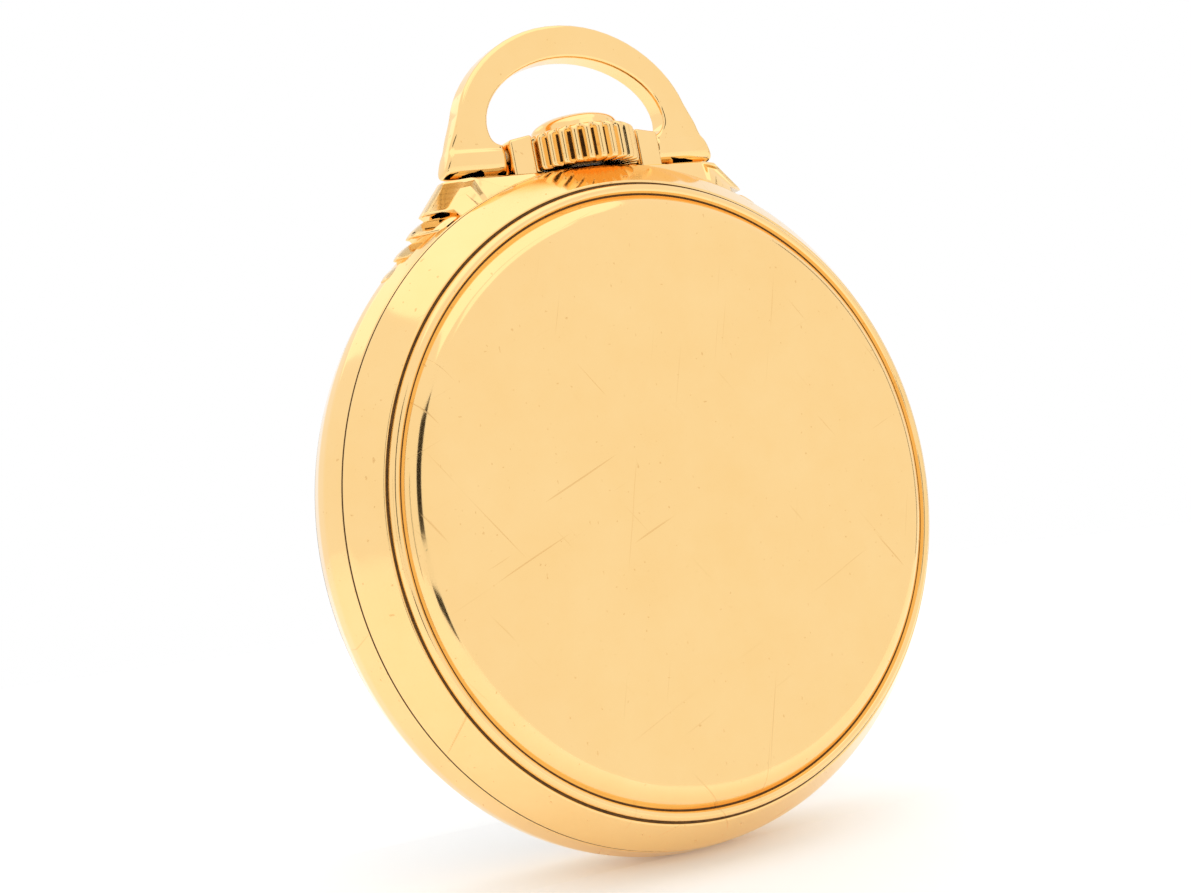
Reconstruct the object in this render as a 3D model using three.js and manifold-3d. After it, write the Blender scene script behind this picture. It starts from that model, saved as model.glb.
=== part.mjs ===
// Open-face pocket watch, 16 size, hanging upright: +Z runs up through the crown and bow, the dial
// faces -Y and the flat back faces +Y. y = 0 is halfway through the case, and z = 0 is the lowest
// point of its rim. Millimetres. The case is a middle band with a screwed back and a screwed bezel;
// inside is a pendant-set, lever-escapement movement with the seconds at 6 o'clock.
import * as THREE from 'three';
import { mergeVertices } from 'three/addons/utils/BufferGeometryUtils.js';
import Module from 'manifold-3d';

const wasm = await Module();
wasm.setup();

// ---- driving dimensions ------------------------------------------------------------------------

const CASE_R = 25.4; // outer radius of the case middle
const HALF_THICK = 6.0; // from the middle to the flat back, and to the top of the crystal
const WALL_HALF = 0.5; // half-width of the upright wall round the rim
const SEAM_R = 24.92; // where the screwed back and bezel meet the middle
const SEAM_Y = 2.35;
const SEAM_GAP = 0.05;
const GROOVE_R = 22.0; // dark line round the flat back
const GROOVE_Y = 5.1;
const BEAD_R = 22.4; // small bead outside the groove
const BEAD_Y = 5.4;
const FLAT_R = 21.2; // edge of the flat back
const THREAD_R = 22.6; // bore of the back and bezel
const SPIGOT_R = 22.45; // necks of the middle that they screw on to
const BORE_R = 21.7; // inside of the middle
const SLOPE_FOOT = { r: 24.6, y: 2.85 }; // the wide slope of the back and of the bezel
const SLOPE_HEAD = { r: 22.9, y: 4.9 };
const RIM_FACETS = 48;

const TOP_Z = 24.8; // flat top of the shoulders, above the case centre
const PENDANT_R = 2.05; // hole for the sleeve and stem
const EAR_IN = 4.5; // the two ears that hold the bow
const EAR_OUT = 6.4;
const EAR_TOP = 27.4;
const EAR_HALF = 1.4;
const EAR_SHOULDER = 0.7; // depth of the rounded top of an ear
const PIVOT_Z = 26.4; // axis on which the bow swings
const BOW_HALF = 0.95; // half-thickness of the bow
const BOW_PIN_R = 0.55;
const CROWN_R = 4.4;
const CROWN_LOW = 24.95;
const CROWN_TOP = 27.7; // top of the flutes, under the cap
const CROWN_FLUTES = 28;
const STEM_R = 0.75;

const PLATE_R = 20.6; // main plate of the movement
const PLATE_LOW = -2.0;
const PLATE_TOP = -0.3;
const BRIDGE_LOW = 2.65;
const BRIDGE_TOP = 3.65;
const DIAL_R = 21.3;
const DIAL_LOW = -3.3;
const DIAL_TOP = -2.9;
const PIVOT_R = 0.2; // thin ends of the arbors
const PIVOT_HOLE = 0.26;
const FIT = 0.05; // gap between pieces pressed or screwed together
const THROUGH = 6; // half-height of a tool that cuts right through

const Z = CASE_R; // height of the case centre
const deg = THREE.MathUtils.degToRad;

// ---- wheel train: teeth, modules and centres ---------------------------------------------------

const BARREL_TEETH = 72;
const CENTRE_LEAVES = 12;
const BARREL_MODULE = 0.225;
const CENTRE_TEETH = 64;
const THIRD_LEAVES = 8;
const CENTRE_MODULE = 0.18;
const THIRD_TEETH = 60;
const FOURTH_LEAVES = 8;
const THIRD_MODULE = 0.16;
const FOURTH_TEETH = 70;
const ESCAPE_LEAVES = 7;
const FOURTH_MODULE = 0.14;
const ESCAPE_TEETH = 15;
const ESCAPE_R = 3.0;
const SECONDS_DROP = 10.5; // seconds arbor below the centre
const CANNON_TEETH = 10;
const MINUTE_TEETH = 30;
const MINUTE_LEAVES = 8;
const HOUR_TEETH = 32;
const MOTION_MODULE = 0.2;
const SETTING_TEETH = 22;
const RATCHET_TEETH = 46;
const CROWN_TEETH = 36;
const WINDING_MODULE = 0.22;

const pitchR = (teeth, module) => (teeth * module) / 2;
const reach = (a, b, module) => pitchR(a, module) + pitchR(b, module);
const polar = (r, degrees, from = { x: 0, z: 0 }) => ({
  x: from.x + r * Math.cos(deg(degrees)),
  z: from.z + r * Math.sin(deg(degrees)),
});
const bearing = (from, to) => Math.atan2(to.z - from.z, to.x - from.x);

const CENTRE = { x: 0, z: 0 };
const BARREL = polar(reach(BARREL_TEETH, CENTRE_LEAVES, BARREL_MODULE), 128);
const FOURTH = { x: 0, z: -SECONDS_DROP };
const THIRD = triangleCorner(
  reach(CENTRE_TEETH, THIRD_LEAVES, CENTRE_MODULE),
  reach(THIRD_TEETH, FOURTH_LEAVES, THIRD_MODULE),
);
const ESCAPE = polar(reach(FOURTH_TEETH, ESCAPE_LEAVES, FOURTH_MODULE), 221, FOURTH);
const BALANCE = { x: -10.5, z: -8.0 };
const BALANCE_R = 6.8;
const PALLET = towards(ESCAPE, BALANCE, 3.7);
const COCK_FOOT = { x: -16.2, z: -0.4 };
const MINUTE = { x: 0, z: reach(CANNON_TEETH, MINUTE_TEETH, MOTION_MODULE) };
const SETTING = [0, 1].map((i) => ({
  x: 0,
  z: MINUTE.z + reach(MINUTE_TEETH, SETTING_TEETH, MOTION_MODULE)
    + i * SETTING_TEETH * MOTION_MODULE,
}));
const WINDING_REACH = reach(RATCHET_TEETH, CROWN_TEETH, WINDING_MODULE);
const CROWN_WHEEL = { x: 0, z: BARREL.z + Math.sqrt(WINDING_REACH ** 2 - BARREL.x ** 2) };
const LEVER_PIVOT = { x: 3.6, z: 19.3 };
const YOKE_PIVOT = { x: -4.6, z: 17.2 };

// Where the third wheel sits, to the right of the line from the centre to the seconds arbor.
function triangleCorner(toCentre, toFourth) {
  const z = (toCentre ** 2 + SECONDS_DROP ** 2 - toFourth ** 2) / (2 * SECONDS_DROP);
  return { x: Math.sqrt(toCentre ** 2 - z ** 2), z: -z };
}

function towards(from, to, distance) {
  const angle = bearing(from, to);
  return { x: from.x + distance * Math.cos(angle), z: from.z + distance * Math.sin(angle) };
}

// ---- solids: shapes lie in the XZ plane and are turned or extruded along Y ----------------------

function solid(geometry) {
  const bare = geometry.index ? geometry.toNonIndexed() : geometry.clone();
  bare.deleteAttribute('normal');
  bare.deleteAttribute('uv');
  const merged = mergeVertices(bare, 1e-4);
  return new wasm.Manifold(new wasm.Mesh({
    numProp: 3,
    vertProperties: new Float32Array(merged.attributes.position.array),
    triVerts: new Uint32Array(merged.index.array),
  }));
}

function geometryOf(manifold) {
  const mesh = manifold.getMesh();
  const geometry = new THREE.BufferGeometry();
  geometry.setAttribute('position', new THREE.BufferAttribute(new Float32Array(mesh.vertProperties), 3));
  geometry.setIndex(new THREE.BufferAttribute(new Uint32Array(mesh.triVerts), 1));
  geometry.computeVertexNormals();
  return geometry;
}

const join = (...shapes) => geometryOf(shapes.map(solid).reduce((a, b) => a.add(b)));
const cut = (body, ...tools) => geometryOf(tools.map(solid).reduce((a, b) => a.subtract(b), solid(body)));
const keep = (body, ...tools) => geometryOf(tools.map(solid).reduce((a, b) => a.intersect(b), solid(body)));

// A body turned about the watch's axis, from [radius, y] points that rise on the outside.
function turned(points, facets = RIM_FACETS) {
  return new THREE.LatheGeometry(points.map(([r, y]) => new THREE.Vector2(r, y)), facets);
}

const disc = (r, low, high, facets = 20) => turned([[0, low], [r, low], [r, high], [0, high]], facets);
const ring = (inner, outer, low, high, facets = 20) =>
  turned([[inner, low], [outer, low], [outer, high], [inner, high], [inner, low]], facets);
const at = (geometry, place) => geometry.translate(place.x, 0, place.z);

function slab(shape, low, high, curveSegments = 6) {
  const settings = { depth: high - low, bevelEnabled: false, curveSegments };
  const geometry = new THREE.ExtrudeGeometry(shape, settings);
  return geometry.rotateX(Math.PI / 2).translate(0, high, 0);
}

function block(x0, x1, y0, y1, z0, z1) {
  const geometry = new THREE.BoxGeometry(x1 - x0, y1 - y0, z1 - z0);
  return geometry.translate((x0 + x1) / 2, (y0 + y1) / 2, (z0 + z1) / 2);
}

function rodZ(radius, low, high, facets = 16) {
  const geometry = new THREE.CylinderGeometry(radius, radius, high - low, facets);
  return geometry.rotateX(Math.PI / 2).translate(0, 0, (low + high) / 2);
}

function rodX(radius, left, right, z, facets = 16) {
  const geometry = new THREE.CylinderGeometry(radius, radius, right - left, facets);
  return geometry.rotateZ(Math.PI / 2).translate((left + right) / 2, 0, z);
}

// A straight bar between two places, with round ends.
function bar(from, to, width, low, high) {
  const angle = bearing(from, to);
  const length = Math.hypot(to.x - from.x, to.z - from.z);
  const shape = new THREE.Shape();
  shape.absarc(0, 0, width / 2, Math.PI / 2, 1.5 * Math.PI);
  shape.absarc(length, 0, width / 2, -Math.PI / 2, Math.PI / 2);
  return slab(shape, low, high, 5).rotateY(-angle).translate(from.x, 0, from.z);
}

// ---- toothed wheels ------------------------------------------------------------------------------

const ADDENDUM = 0.8; // height of a tooth above and below the pitch circle, in modules
const DEDENDUM = 1.2;

// A wheel has pointed teeth, and a pinion has narrow leaves with flat tips, so the two run free.
function toothed(teeth, module, phase, leaves = false) {
  const pitch = (2 * Math.PI) / teeth;
  const tip = pitchR(teeth, module) + ADDENDUM * module;
  const root = pitchR(teeth, module) - DEDENDUM * module;
  const corners = leaves
    ? [[-0.2, root], [-0.09, tip], [0.09, tip], [0.2, root]]
    : [[0, tip], [0.5, root]];
  const shape = new THREE.Shape();
  for (let i = 0; i < teeth; i++) {
    for (const [step, r] of corners) {
      const angle = phase + (i + step) * pitch;
      const draw = i === 0 && step === corners[0][0] ? 'moveTo' : 'lineTo';
      shape[draw](r * Math.cos(angle), r * Math.sin(angle));
    }
  }
  shape.closePath();
  return shape;
}

// The phase that puts wheel b in mesh with wheel a, which lies the other way along the bearing.
const meshPhase = (phaseA, teethA, teethB, angle) =>
  angle + Math.PI - (teethA / teethB) * (phaseA - angle) - Math.PI / teethB;

function hole(radius, points = 10) {
  const path = new THREE.Path();
  path.setFromPoints(circle(radius, points));
  return path;
}

function circle(radius, points) {
  return Array.from({ length: points }, (_, i) => {
    const angle = (-2 * Math.PI * i) / points;
    return new THREE.Vector2(radius * Math.cos(angle), radius * Math.sin(angle));
  });
}

// Windows between the arms of a wheel.
function crossings(shape, arms, inner, outer, armWidth) {
  for (let i = 0; i < arms; i++) {
    const start = (2 * Math.PI * i) / arms;
    const end = start + (2 * Math.PI) / arms;
    const path = new THREE.Path();
    path.absarc(0, 0, outer, start + armWidth / 2 / outer, end - armWidth / 2 / outer, false);
    path.absarc(0, 0, inner, end - armWidth / 2 / inner, start + armWidth / 2 / inner, true);
    path.closePath();
    shape.holes.push(path);
  }
  return shape;
}

const ARMS = 4;
const END_SHAKE = 0.03; // how far an arbor can move along its own axis
const PIVOT_LONG = 0.8;
const ARBOR_LOW = PLATE_TOP + END_SHAKE;
const ARBOR_TOP = BRIDGE_LOW - END_SHAKE;
const ARBOR_R = 0.38;
const HUB_R = 1.1;
const WHEEL_RIM = 0.45;
const ARM_WIDTH = 0.5;

// A turned arbor with a thin pivot at each end.
function arbor(radius, low = ARBOR_LOW, high = ARBOR_TOP) {
  return turned([
    [0, low - PIVOT_LONG], [PIVOT_R, low - PIVOT_LONG], [PIVOT_R, low], [radius, low],
    [radius, high], [PIVOT_R, high], [PIVOT_R, high + PIVOT_LONG], [0, high + PIVOT_LONG],
  ], 8);
}

// A wheel with arms, its pinion and its arbor, which are riveted into one.
function wheelAndPinion({ wheel, pinion }) {
  const outline = toothed(wheel.teeth, wheel.module, wheel.phase);
  const rim = pitchR(wheel.teeth, wheel.module) - DEDENDUM * wheel.module - WHEEL_RIM;
  return join(
    slab(crossings(outline, ARMS, HUB_R, rim, ARM_WIDTH), wheel.low, wheel.high, 2),
    slab(toothed(pinion.teeth, pinion.module, pinion.phase, true), pinion.low, pinion.high),
    arbor(ARBOR_R),
  );
}

// ---- the group and its finishes ---------------------------------------------------------------

const watch = new THREE.Group();
watch.position.z = Z;

function finish(color, roughness, metalness) {
  return () => new THREE.MeshStandardMaterial({ color, roughness, metalness });
}

const gold = finish(0xf2cf85, 0.12, 1);
const gilt = finish(0xd8b46a, 0.3, 1);
const nickel = finish(0xc9c9c4, 0.3, 1);
const steel = finish(0xb4b7bb, 0.25, 1);
const blued = finish(0x22305e, 0.25, 1);
const ruby = finish(0x9c1f3a, 0.1, 0);
const enamel = finish(0xf6f3ea, 0.25, 0);
const glass = () => new THREE.MeshStandardMaterial({
  color: 0xf4f8f8, roughness: 0.05, metalness: 0, transparent: true, opacity: 0.3,
});

function add(name, geometry, material, place = CENTRE) {
  const mesh = new THREE.Mesh(geometry, material());
  mesh.name = name;
  mesh.position.set(place.x, 0, place.z);
  watch.add(mesh);
}

// ---- case -----------------------------------------------------------------------------------------

// The shoulders swell out of the band in four stepped ribs a side, under the flat top that carries
// the bow. Each outline is lofted from the upright wall, over a chamfer, into the seam.
const SHOULDER_LOW = 18.2;
const SHOULDER_WALL = [new THREE.Vector2(11.9, TOP_Z), new THREE.Vector2(17.8, SHOULDER_LOW)];
const SHOULDER_RIDGE = [new THREE.Vector2(9.7, TOP_Z), new THREE.Vector2(16.6, SHOULDER_LOW)];
const SHOULDER_ROOT = [[0, 22.5], [8, 22], [16.4, 16.8]]; // hidden inside the band
const RIB_ENDS = [0, 0.36, 0.58, 0.79, 1];
const RIB_NOTCH = 0.3;
const RIB_GAP = 0.04;
const RIDGE_Y = 1.6;
const SHOULDER_Y = SEAM_Y - SEAM_GAP; // the shoulders end just inside the seams

function shoulderOutline([top, bottom], notch, limit = Infinity) {
  const along = (f) => new THREE.Vector2().lerpVectors(top, bottom, f);
  const points = SHOULDER_ROOT.map(([x, z]) => new THREE.Vector2(x, z));
  for (let i = RIB_ENDS.length - 1; i > 0; i--) {
    points.push(along(RIB_ENDS[i]));
    if (i > 1) {
      points.push(along(RIB_ENDS[i - 1] + RIB_GAP));
      points.push(along(RIB_ENDS[i - 1] + RIB_GAP / 2).sub(new THREE.Vector2(notch, notch)));
    }
  }
  points.push(top, new THREE.Vector2(0, TOP_Z));
  return points.map((p) => (p.length() > limit ? p.clone().setLength(limit) : p));
}

// Skins a stack of outlines, each [y, points], into one closed body.
function lofted(layers) {
  const count = layers[0][1].length;
  const positions = layers.flatMap(([y, points]) => points.flatMap((p) => [p.x, y, p.y]));
  const faces = [];
  for (let layer = 0; layer + 1 < layers.length; layer++) {
    for (let i = 0; i < count; i++) {
      const a = layer * count + i;
      const b = layer * count + ((i + 1) % count);
      faces.push(a, b + count, b, a, a + count, b + count);
    }
  }
  const last = (layers.length - 1) * count;
  for (const [a, b, c] of THREE.ShapeUtils.triangulateShape(layers[0][1], [])) {
    faces.push(a, b, c);
  }
  for (const [a, b, c] of THREE.ShapeUtils.triangulateShape(layers[layers.length - 1][1], [])) {
    faces.push(last + a, last + c, last + b);
  }
  const geometry = new THREE.BufferGeometry();
  geometry.setAttribute('position', new THREE.Float32BufferAttribute(positions, 3));
  geometry.setIndex(faces);
  return geometry;
}

function shoulder(side) {
  const heights = [-SHOULDER_Y, -RIDGE_Y, -WALL_HALF, WALL_HALF, RIDGE_Y, SHOULDER_Y];
  const layers = heights.map((y) => {
    const flank = Math.abs(y) > WALL_HALF;
    const limit = Math.abs(y) > RIDGE_Y ? SEAM_R - 0.15 : Infinity;
    const notch = limit < Infinity ? 0 : RIB_NOTCH / (flank ? 2 : 1);
    return [y, shoulderOutline(flank ? SHOULDER_RIDGE : SHOULDER_WALL, notch, limit)];
  });
  if (side > 0) {
    return lofted(layers);
  }
  const mirrored = (points) => points.map((p) => new THREE.Vector2(-p.x, p.y)).reverse();
  return lofted(layers.map(([y, points]) => [y, mirrored(points)]));
}

function ear(side) {
  const shape = new THREE.Shape();
  shape.moveTo(-EAR_HALF, TOP_Z - 1);
  shape.lineTo(EAR_HALF, TOP_Z - 1);
  shape.lineTo(EAR_HALF, EAR_TOP - EAR_SHOULDER);
  shape.quadraticCurveTo(EAR_HALF * 0.85, EAR_TOP, 0, EAR_TOP);
  shape.quadraticCurveTo(-EAR_HALF * 0.85, EAR_TOP, -EAR_HALF, EAR_TOP - EAR_SHOULDER);
  shape.closePath();
  const depth = EAR_OUT - EAR_IN;
  const geometry = new THREE.ExtrudeGeometry(shape, { depth, bevelEnabled: false, curveSegments: 4 });
  geometry.rotateX(Math.PI / 2).rotateZ(Math.PI / 2);
  return geometry.translate(side > 0 ? EAR_IN : -EAR_OUT, 0, 0);
}

// The middle: an upright wall between two chamfers, with a threaded neck on each side and a lip
// inside for the movement. The shoulders, the two ears and the pendant hole are all one piece with it.
const LIP_R = 20.8;
const LIP_LOW = -1.15;
const LIP_TOP = -0.65;
const FRONT_NECK = -3.6;
const BACK_NECK = 4.0;
const PIN_CLEAR = 0.1;

function caseBand() {
  const middle = turned([
    [SEAM_R, -SEAM_Y], [CASE_R, -WALL_HALF], [CASE_R, WALL_HALF], [SEAM_R, SEAM_Y],
    [SPIGOT_R, SEAM_Y], [SPIGOT_R, BACK_NECK], [BORE_R, BACK_NECK], [BORE_R, FRONT_NECK],
    [SPIGOT_R, FRONT_NECK], [SPIGOT_R, -SEAM_Y], [SEAM_R, -SEAM_Y],
  ]);
  const flatTopped = cut(
    join(middle, shoulder(1), shoulder(-1)),
    block(-CASE_R / 2, CASE_R / 2, -THROUGH, THROUGH, TOP_Z, CASE_R + 1),
  );
  const outside = cut(
    join(flatTopped, ear(1), ear(-1)),
    disc(BORE_R, -THROUGH, THROUGH, RIM_FACETS),
    rodX(BOW_PIN_R + PIN_CLEAR, -EAR_OUT - 1, EAR_OUT + 1, PIVOT_Z),
  );
  const lip = ring(LIP_R, BORE_R + 0.3, LIP_LOW, LIP_TOP, RIM_FACETS);
  return cut(join(outside, lip), rodZ(PENDANT_R, LIP_R - 2, CASE_R + 4, 20));
}

const BACK_INSIDE = 5.35; // inner face of the flat back

// The back is one screwed shell: a wide sloping band, a bead and a groove round a flat disc.
function backCover() {
  const seam = SEAM_Y + SEAM_GAP;
  return turned([
    [0, BACK_INSIDE], [FLAT_R - 0.2, BACK_INSIDE], [FLAT_R + 0.3, BACK_INSIDE - 0.6],
    [THREAD_R, BACK_NECK + 0.2], [THREAD_R, seam], [SEAM_R, seam],
    [SLOPE_FOOT.r, SLOPE_FOOT.y], [SLOPE_HEAD.r, SLOPE_HEAD.y], [BEAD_R, BEAD_Y],
    [GROOVE_R, GROOVE_Y], [21.75, 5.75], [FLAT_R, HALF_THICK], [0, HALF_THICK],
  ]);
}

const CRYSTAL_R = 21.4;
const CRYSTAL_SEAT = -4.35;
const CRYSTAL_THICK = 0.8;
const LEDGE_R = 20.9;
const BEZEL_LOW = -3.75;

// The bezel repeats the back's band and bead, and holds the crystal on an inner ledge.
function bezel() {
  const seam = -SEAM_Y - SEAM_GAP;
  const mouth = CRYSTAL_R + 0.15;
  return turned([
    [mouth, 0.2 - BEAD_Y], [BEAD_R, -BEAD_Y], [SLOPE_HEAD.r, -SLOPE_HEAD.y],
    [SLOPE_FOOT.r, -SLOPE_FOOT.y], [SEAM_R, seam], [THREAD_R, seam], [THREAD_R, BEZEL_LOW],
    [LEDGE_R, BEZEL_LOW], [LEDGE_R, CRYSTAL_SEAT], [mouth, CRYSTAL_SEAT], [mouth, 0.2 - BEAD_Y],
  ]);
}

// A low dome that stands 0.6 mm proud of the bezel, ground flat where it is seated.
function crystal() {
  const dome = [0, 0.4, 0.75, 1].map((f) => [f * CRYSTAL_R, f * f - HALF_THICK]);
  const under = [0.6, 0].map((f) => [f * CRYSTAL_R, 0.8 * f * f - HALF_THICK + CRYSTAL_THICK]);
  const seat = CRYSTAL_SEAT - SEAM_GAP;
  return turned([...dome, [CRYSTAL_R, seat], [0.95 * CRYSTAL_R, seat], ...under], 36);
}

add('case_band', caseBand(), gold);
add('back_cover', backCover(), gold);
add('bezel', bezel(), gold);
add('crystal', crystal(), glass);

// ---- pendant: bow, sleeve, crown and stem ------------------------------------------------------------

const BOW_TOP = 35.9;
const BOW_FOOT_Z = 25.55;
const BOW_FOOT_IN = 6.55;
const BOW_FOOT_OUT = 11.2;
const BOW_FOOT_TOP = 27.2;
const OPENING_TOP = 33.4;
const PIN_IN = 4.65;
const PIN_OUT = 8.3;

// A stirrup bow: straight arms that lean in from wide feet to a round top, round a half-moon opening.
function bow() {
  const shape = new THREE.Shape();
  shape.moveTo(BOW_FOOT_IN, BOW_FOOT_Z);
  shape.lineTo(BOW_FOOT_OUT, BOW_FOOT_Z);
  shape.quadraticCurveTo(11.7, BOW_FOOT_Z, 11.4, 26.1);
  shape.lineTo(9.8, 29.6);
  shape.bezierCurveTo(8.9, 32.6, 5.2, BOW_TOP, 0, BOW_TOP);
  shape.bezierCurveTo(-5.2, BOW_TOP, -8.9, 32.6, -9.8, 29.6);
  shape.lineTo(-11.4, 26.1);
  shape.quadraticCurveTo(-11.7, BOW_FOOT_Z, -BOW_FOOT_OUT, BOW_FOOT_Z);
  shape.lineTo(-BOW_FOOT_IN, BOW_FOOT_Z);
  shape.lineTo(-BOW_FOOT_IN, BOW_FOOT_TOP);
  shape.quadraticCurveTo(-7.7, 27.4, -7.6, 28.7);
  shape.bezierCurveTo(-7.4, 31.2, -3.9, OPENING_TOP, 0, OPENING_TOP);
  shape.bezierCurveTo(3.9, OPENING_TOP, 7.4, 31.2, 7.6, 28.7);
  shape.quadraticCurveTo(7.7, 27.4, BOW_FOOT_IN, BOW_FOOT_TOP);
  shape.closePath();
  const bored = rodX(BOW_PIN_R + FIT, -PIN_OUT - 0.2, PIN_OUT + 0.2, PIVOT_Z);
  return cut(slab(shape, -BOW_HALF, BOW_HALF), bored);
}

const STEM_TOP = 27.5;
const FLUTE_DEEP = 0.35;
const HOLLOW_R = 2.5; // room inside the crown for the pendant sleeve
const HOLLOW_TOP = 26.8;

// Flutes that a thumb can grip, under a low smooth cap, with a hollow for the pendant sleeve.
function crown() {
  const shape = new THREE.Shape();
  for (let i = 0; i < 2 * CROWN_FLUTES; i++) {
    const r = i % 2 ? CROWN_R : CROWN_R - FLUTE_DEEP;
    const angle = (Math.PI * i) / CROWN_FLUTES;
    shape[i ? 'lineTo' : 'moveTo'](r * Math.cos(angle), r * Math.sin(angle));
  }
  shape.closePath();
  const settings = { depth: CROWN_TOP - CROWN_LOW, bevelEnabled: false };
  const flutes = new THREE.ExtrudeGeometry(shape, settings);
  const cap = turned([[0, -0.3], [3.3, -0.3], [3.3, 0.5], [2.9, 1], [1.3, 1.25], [0, 1.3]], 20);
  cap.rotateX(Math.PI / 2).translate(0, 0, CROWN_TOP);
  return cut(
    join(flutes.translate(0, 0, CROWN_LOW), cap),
    rodZ(HOLLOW_R, CROWN_LOW - 1, HOLLOW_TOP, 20),
    rodZ(STEM_R + FIT, CROWN_LOW, STEM_TOP + 0.2),
  );
}

const CLUTCH_LOW = 15.6;
const PINION_LOW = 17.4;
const PINION_TOP = 18.6;
const STEM_LOW = 15.3;
const SQUARE_TOP = 19.1;
const CLUTCH_R = 1.4;
const SQUARE_R = 0.72;
const STEM_GROOVE = { low: 19.3, high: 19.9, r: 0.45 }; // for the setting lever's pin

function stem() {
  return join(
    rodZ(SQUARE_R, STEM_LOW, SQUARE_TOP, 4),
    rodZ(STEM_GROOVE.r, SQUARE_TOP - 0.1, STEM_GROOVE.high + 0.1, 12),
    rodZ(STEM_R, STEM_GROOVE.high, STEM_TOP),
    rodZ(STEM_R, SQUARE_TOP - 0.1, STEM_GROOVE.low),
  );
}

function pendantSleeve() {
  return cut(rodZ(PENDANT_R - 0.1, 21.9, 25.6, 20), rodZ(STEM_R + 0.2, 21, 27, 20));
}

add('bow', bow(), gold);
add('bow_pin_left', rodX(BOW_PIN_R, -PIN_OUT, -PIN_IN, PIVOT_Z), steel);
add('bow_pin_right', rodX(BOW_PIN_R, PIN_IN, PIN_OUT, PIVOT_Z), steel);
add('pendant_sleeve', pendantSleeve(), steel);
add('crown', crown(), gold);
add('winding_stem', stem(), steel);

// ---- plates and bridges --------------------------------------------------------------------------

const BALANCE_CLEAR = 7.6; // room left round the balance
const COCK_LOW = 3.4;
const COCK_TOP = 4.4;
const JEWEL_R = 0.9;
const JEWEL_DEEP = 0.45;
const SCREW_SHANK = 0.5;
const POST_R = 0.35;
const POST_LOW = -2.85;
const RIVET_GAP = 0.12; // room round a post that a wheel or lever turns on
const CORE_R = 0.6; // post that carries the crown wheel
const WINDING_LOW = 3.75; // ratchet, crown wheel and click, on top of the barrel bridge
const WINDING_TOP = 4.15;
const SCREW_RING = 19.3;
const WALL_R = 18.9; // inside of the bridges' walls
const STAND = 0.02; // how far a piece stands off what it's screwed down on
const SHANK_LOW = -1.6;
const LEVER_SLOT = block(0.3, 1.3, -THROUGH, 0, 19.1, 22);
const YOKE_SLOT = block(-1.75, -0.9, -THROUGH, 0, 15.9, 17.1);
const STEM_HOLE_LOW = 14.95;

const BRIDGE_SCREWS = [32, 160].map((angle) => polar(SCREW_RING, angle));
const TRAIN_SCREWS = [-20, -68].map((angle) => polar(SCREW_RING, angle));
const CASE_SCREWS = [-2, 192].map((angle) => polar(19.9, angle));
const CLICK_PIVOT = polar(7.1, 160, BARREL);

const pivotHole = (place, r = PIVOT_HOLE) => at(disc(r, -THROUGH, THROUGH, 6), place);
const screwHole = (place) => at(disc(SCREW_SHANK + 2 * FIT, -THROUGH, THROUGH, 8), place);
const jewelHole = (place, top) =>
  at(disc(JEWEL_R + FIT, top - JEWEL_DEEP - FIT, THROUGH, 8), place);

function mainPlate() {
  const flange = PLATE_R + 0.6;
  const body = turned([
    [0, PLATE_LOW], [flange, PLATE_LOW], [flange, LIP_LOW - SEAM_GAP], [PLATE_R, LIP_LOW - SEAM_GAP],
    [PLATE_R, PLATE_TOP], [0, PLATE_TOP],
  ]);
  const posts = [MINUTE, ...SETTING, LEVER_PIVOT, YOKE_PIVOT].map((place) =>
    at(disc(POST_R, POST_LOW, PLATE_LOW + 0.2, 8), place));
  const core = at(disc(CORE_R, PLATE_TOP - 0.2, WINDING_TOP, 12), CROWN_WHEEL);
  return cut(
    join(body, core, ...posts),
    rodZ(STEM_R + 0.2, STEM_HOLE_LOW, PLATE_R + 1.4),
    rodZ(2.2, PINION_LOW - 0.3, PINION_TOP + 0.3, 20),
    rodZ(CLUTCH_R + 0.2, STEM_HOLE_LOW, PINION_LOW),
    LEVER_SLOT,
    YOKE_SLOT,
    pivotHole(CENTRE, 0.52),
    pivotHole(BARREL, 0.68),
    ...[THIRD, FOURTH, ESCAPE, PALLET, BALANCE].map((place) => pivotHole(place)),
    ...[...BRIDGE_SCREWS, ...TRAIN_SCREWS, ...CASE_SCREWS, COCK_FOOT].map(screwHole),
  );
}

const BRIDGE_R = PLATE_R - 0.2;
const wallRing = () => ring(WALL_R, BRIDGE_R, PLATE_TOP + STAND, BRIDGE_LOW + 0.2, RIM_FACETS);

// A bridge is a flat plate on a wall that stands on the main plate.
function barrelBridge() {
  const side = block(-CASE_R, CASE_R, -THROUGH, THROUGH, 2.6, CASE_R);
  const plate = keep(disc(BRIDGE_R, BRIDGE_LOW, BRIDGE_TOP, RIM_FACETS), side);
  const pendantGap = block(-3.4, 3.4, -THROUGH, BRIDGE_LOW - 0.25, 15, 22);
  return cut(
    join(plate, cut(keep(wallRing(), side), pendantGap)),
    at(disc(3.95, 0, THROUGH, 20), CROWN_WHEEL),
    at(disc(1.05, 0, THROUGH, 12), BARREL),
    pivotHole(CLICK_PIVOT, POST_R + RIVET_GAP),
    ...BRIDGE_SCREWS.map(screwHole),
  );
}

function trainBridge() {
  const side = (top) => block(-6, CASE_R, -THROUGH, THROUGH, -CASE_R, top);
  const plate = keep(disc(BRIDGE_R, BRIDGE_LOW, BRIDGE_TOP, RIM_FACETS), side(2.3));
  return cut(
    join(plate, keep(wallRing(), side(-3.5))),
    at(disc(BALANCE_CLEAR, -THROUGH, THROUGH, 24), BALANCE),
    ...[CENTRE, THIRD, FOURTH, ESCAPE].flatMap((place) => [
      pivotHole(place),
      jewelHole(place, BRIDGE_TOP),
    ]),
    ...TRAIN_SCREWS.map(screwHole),
  );
}

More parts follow.
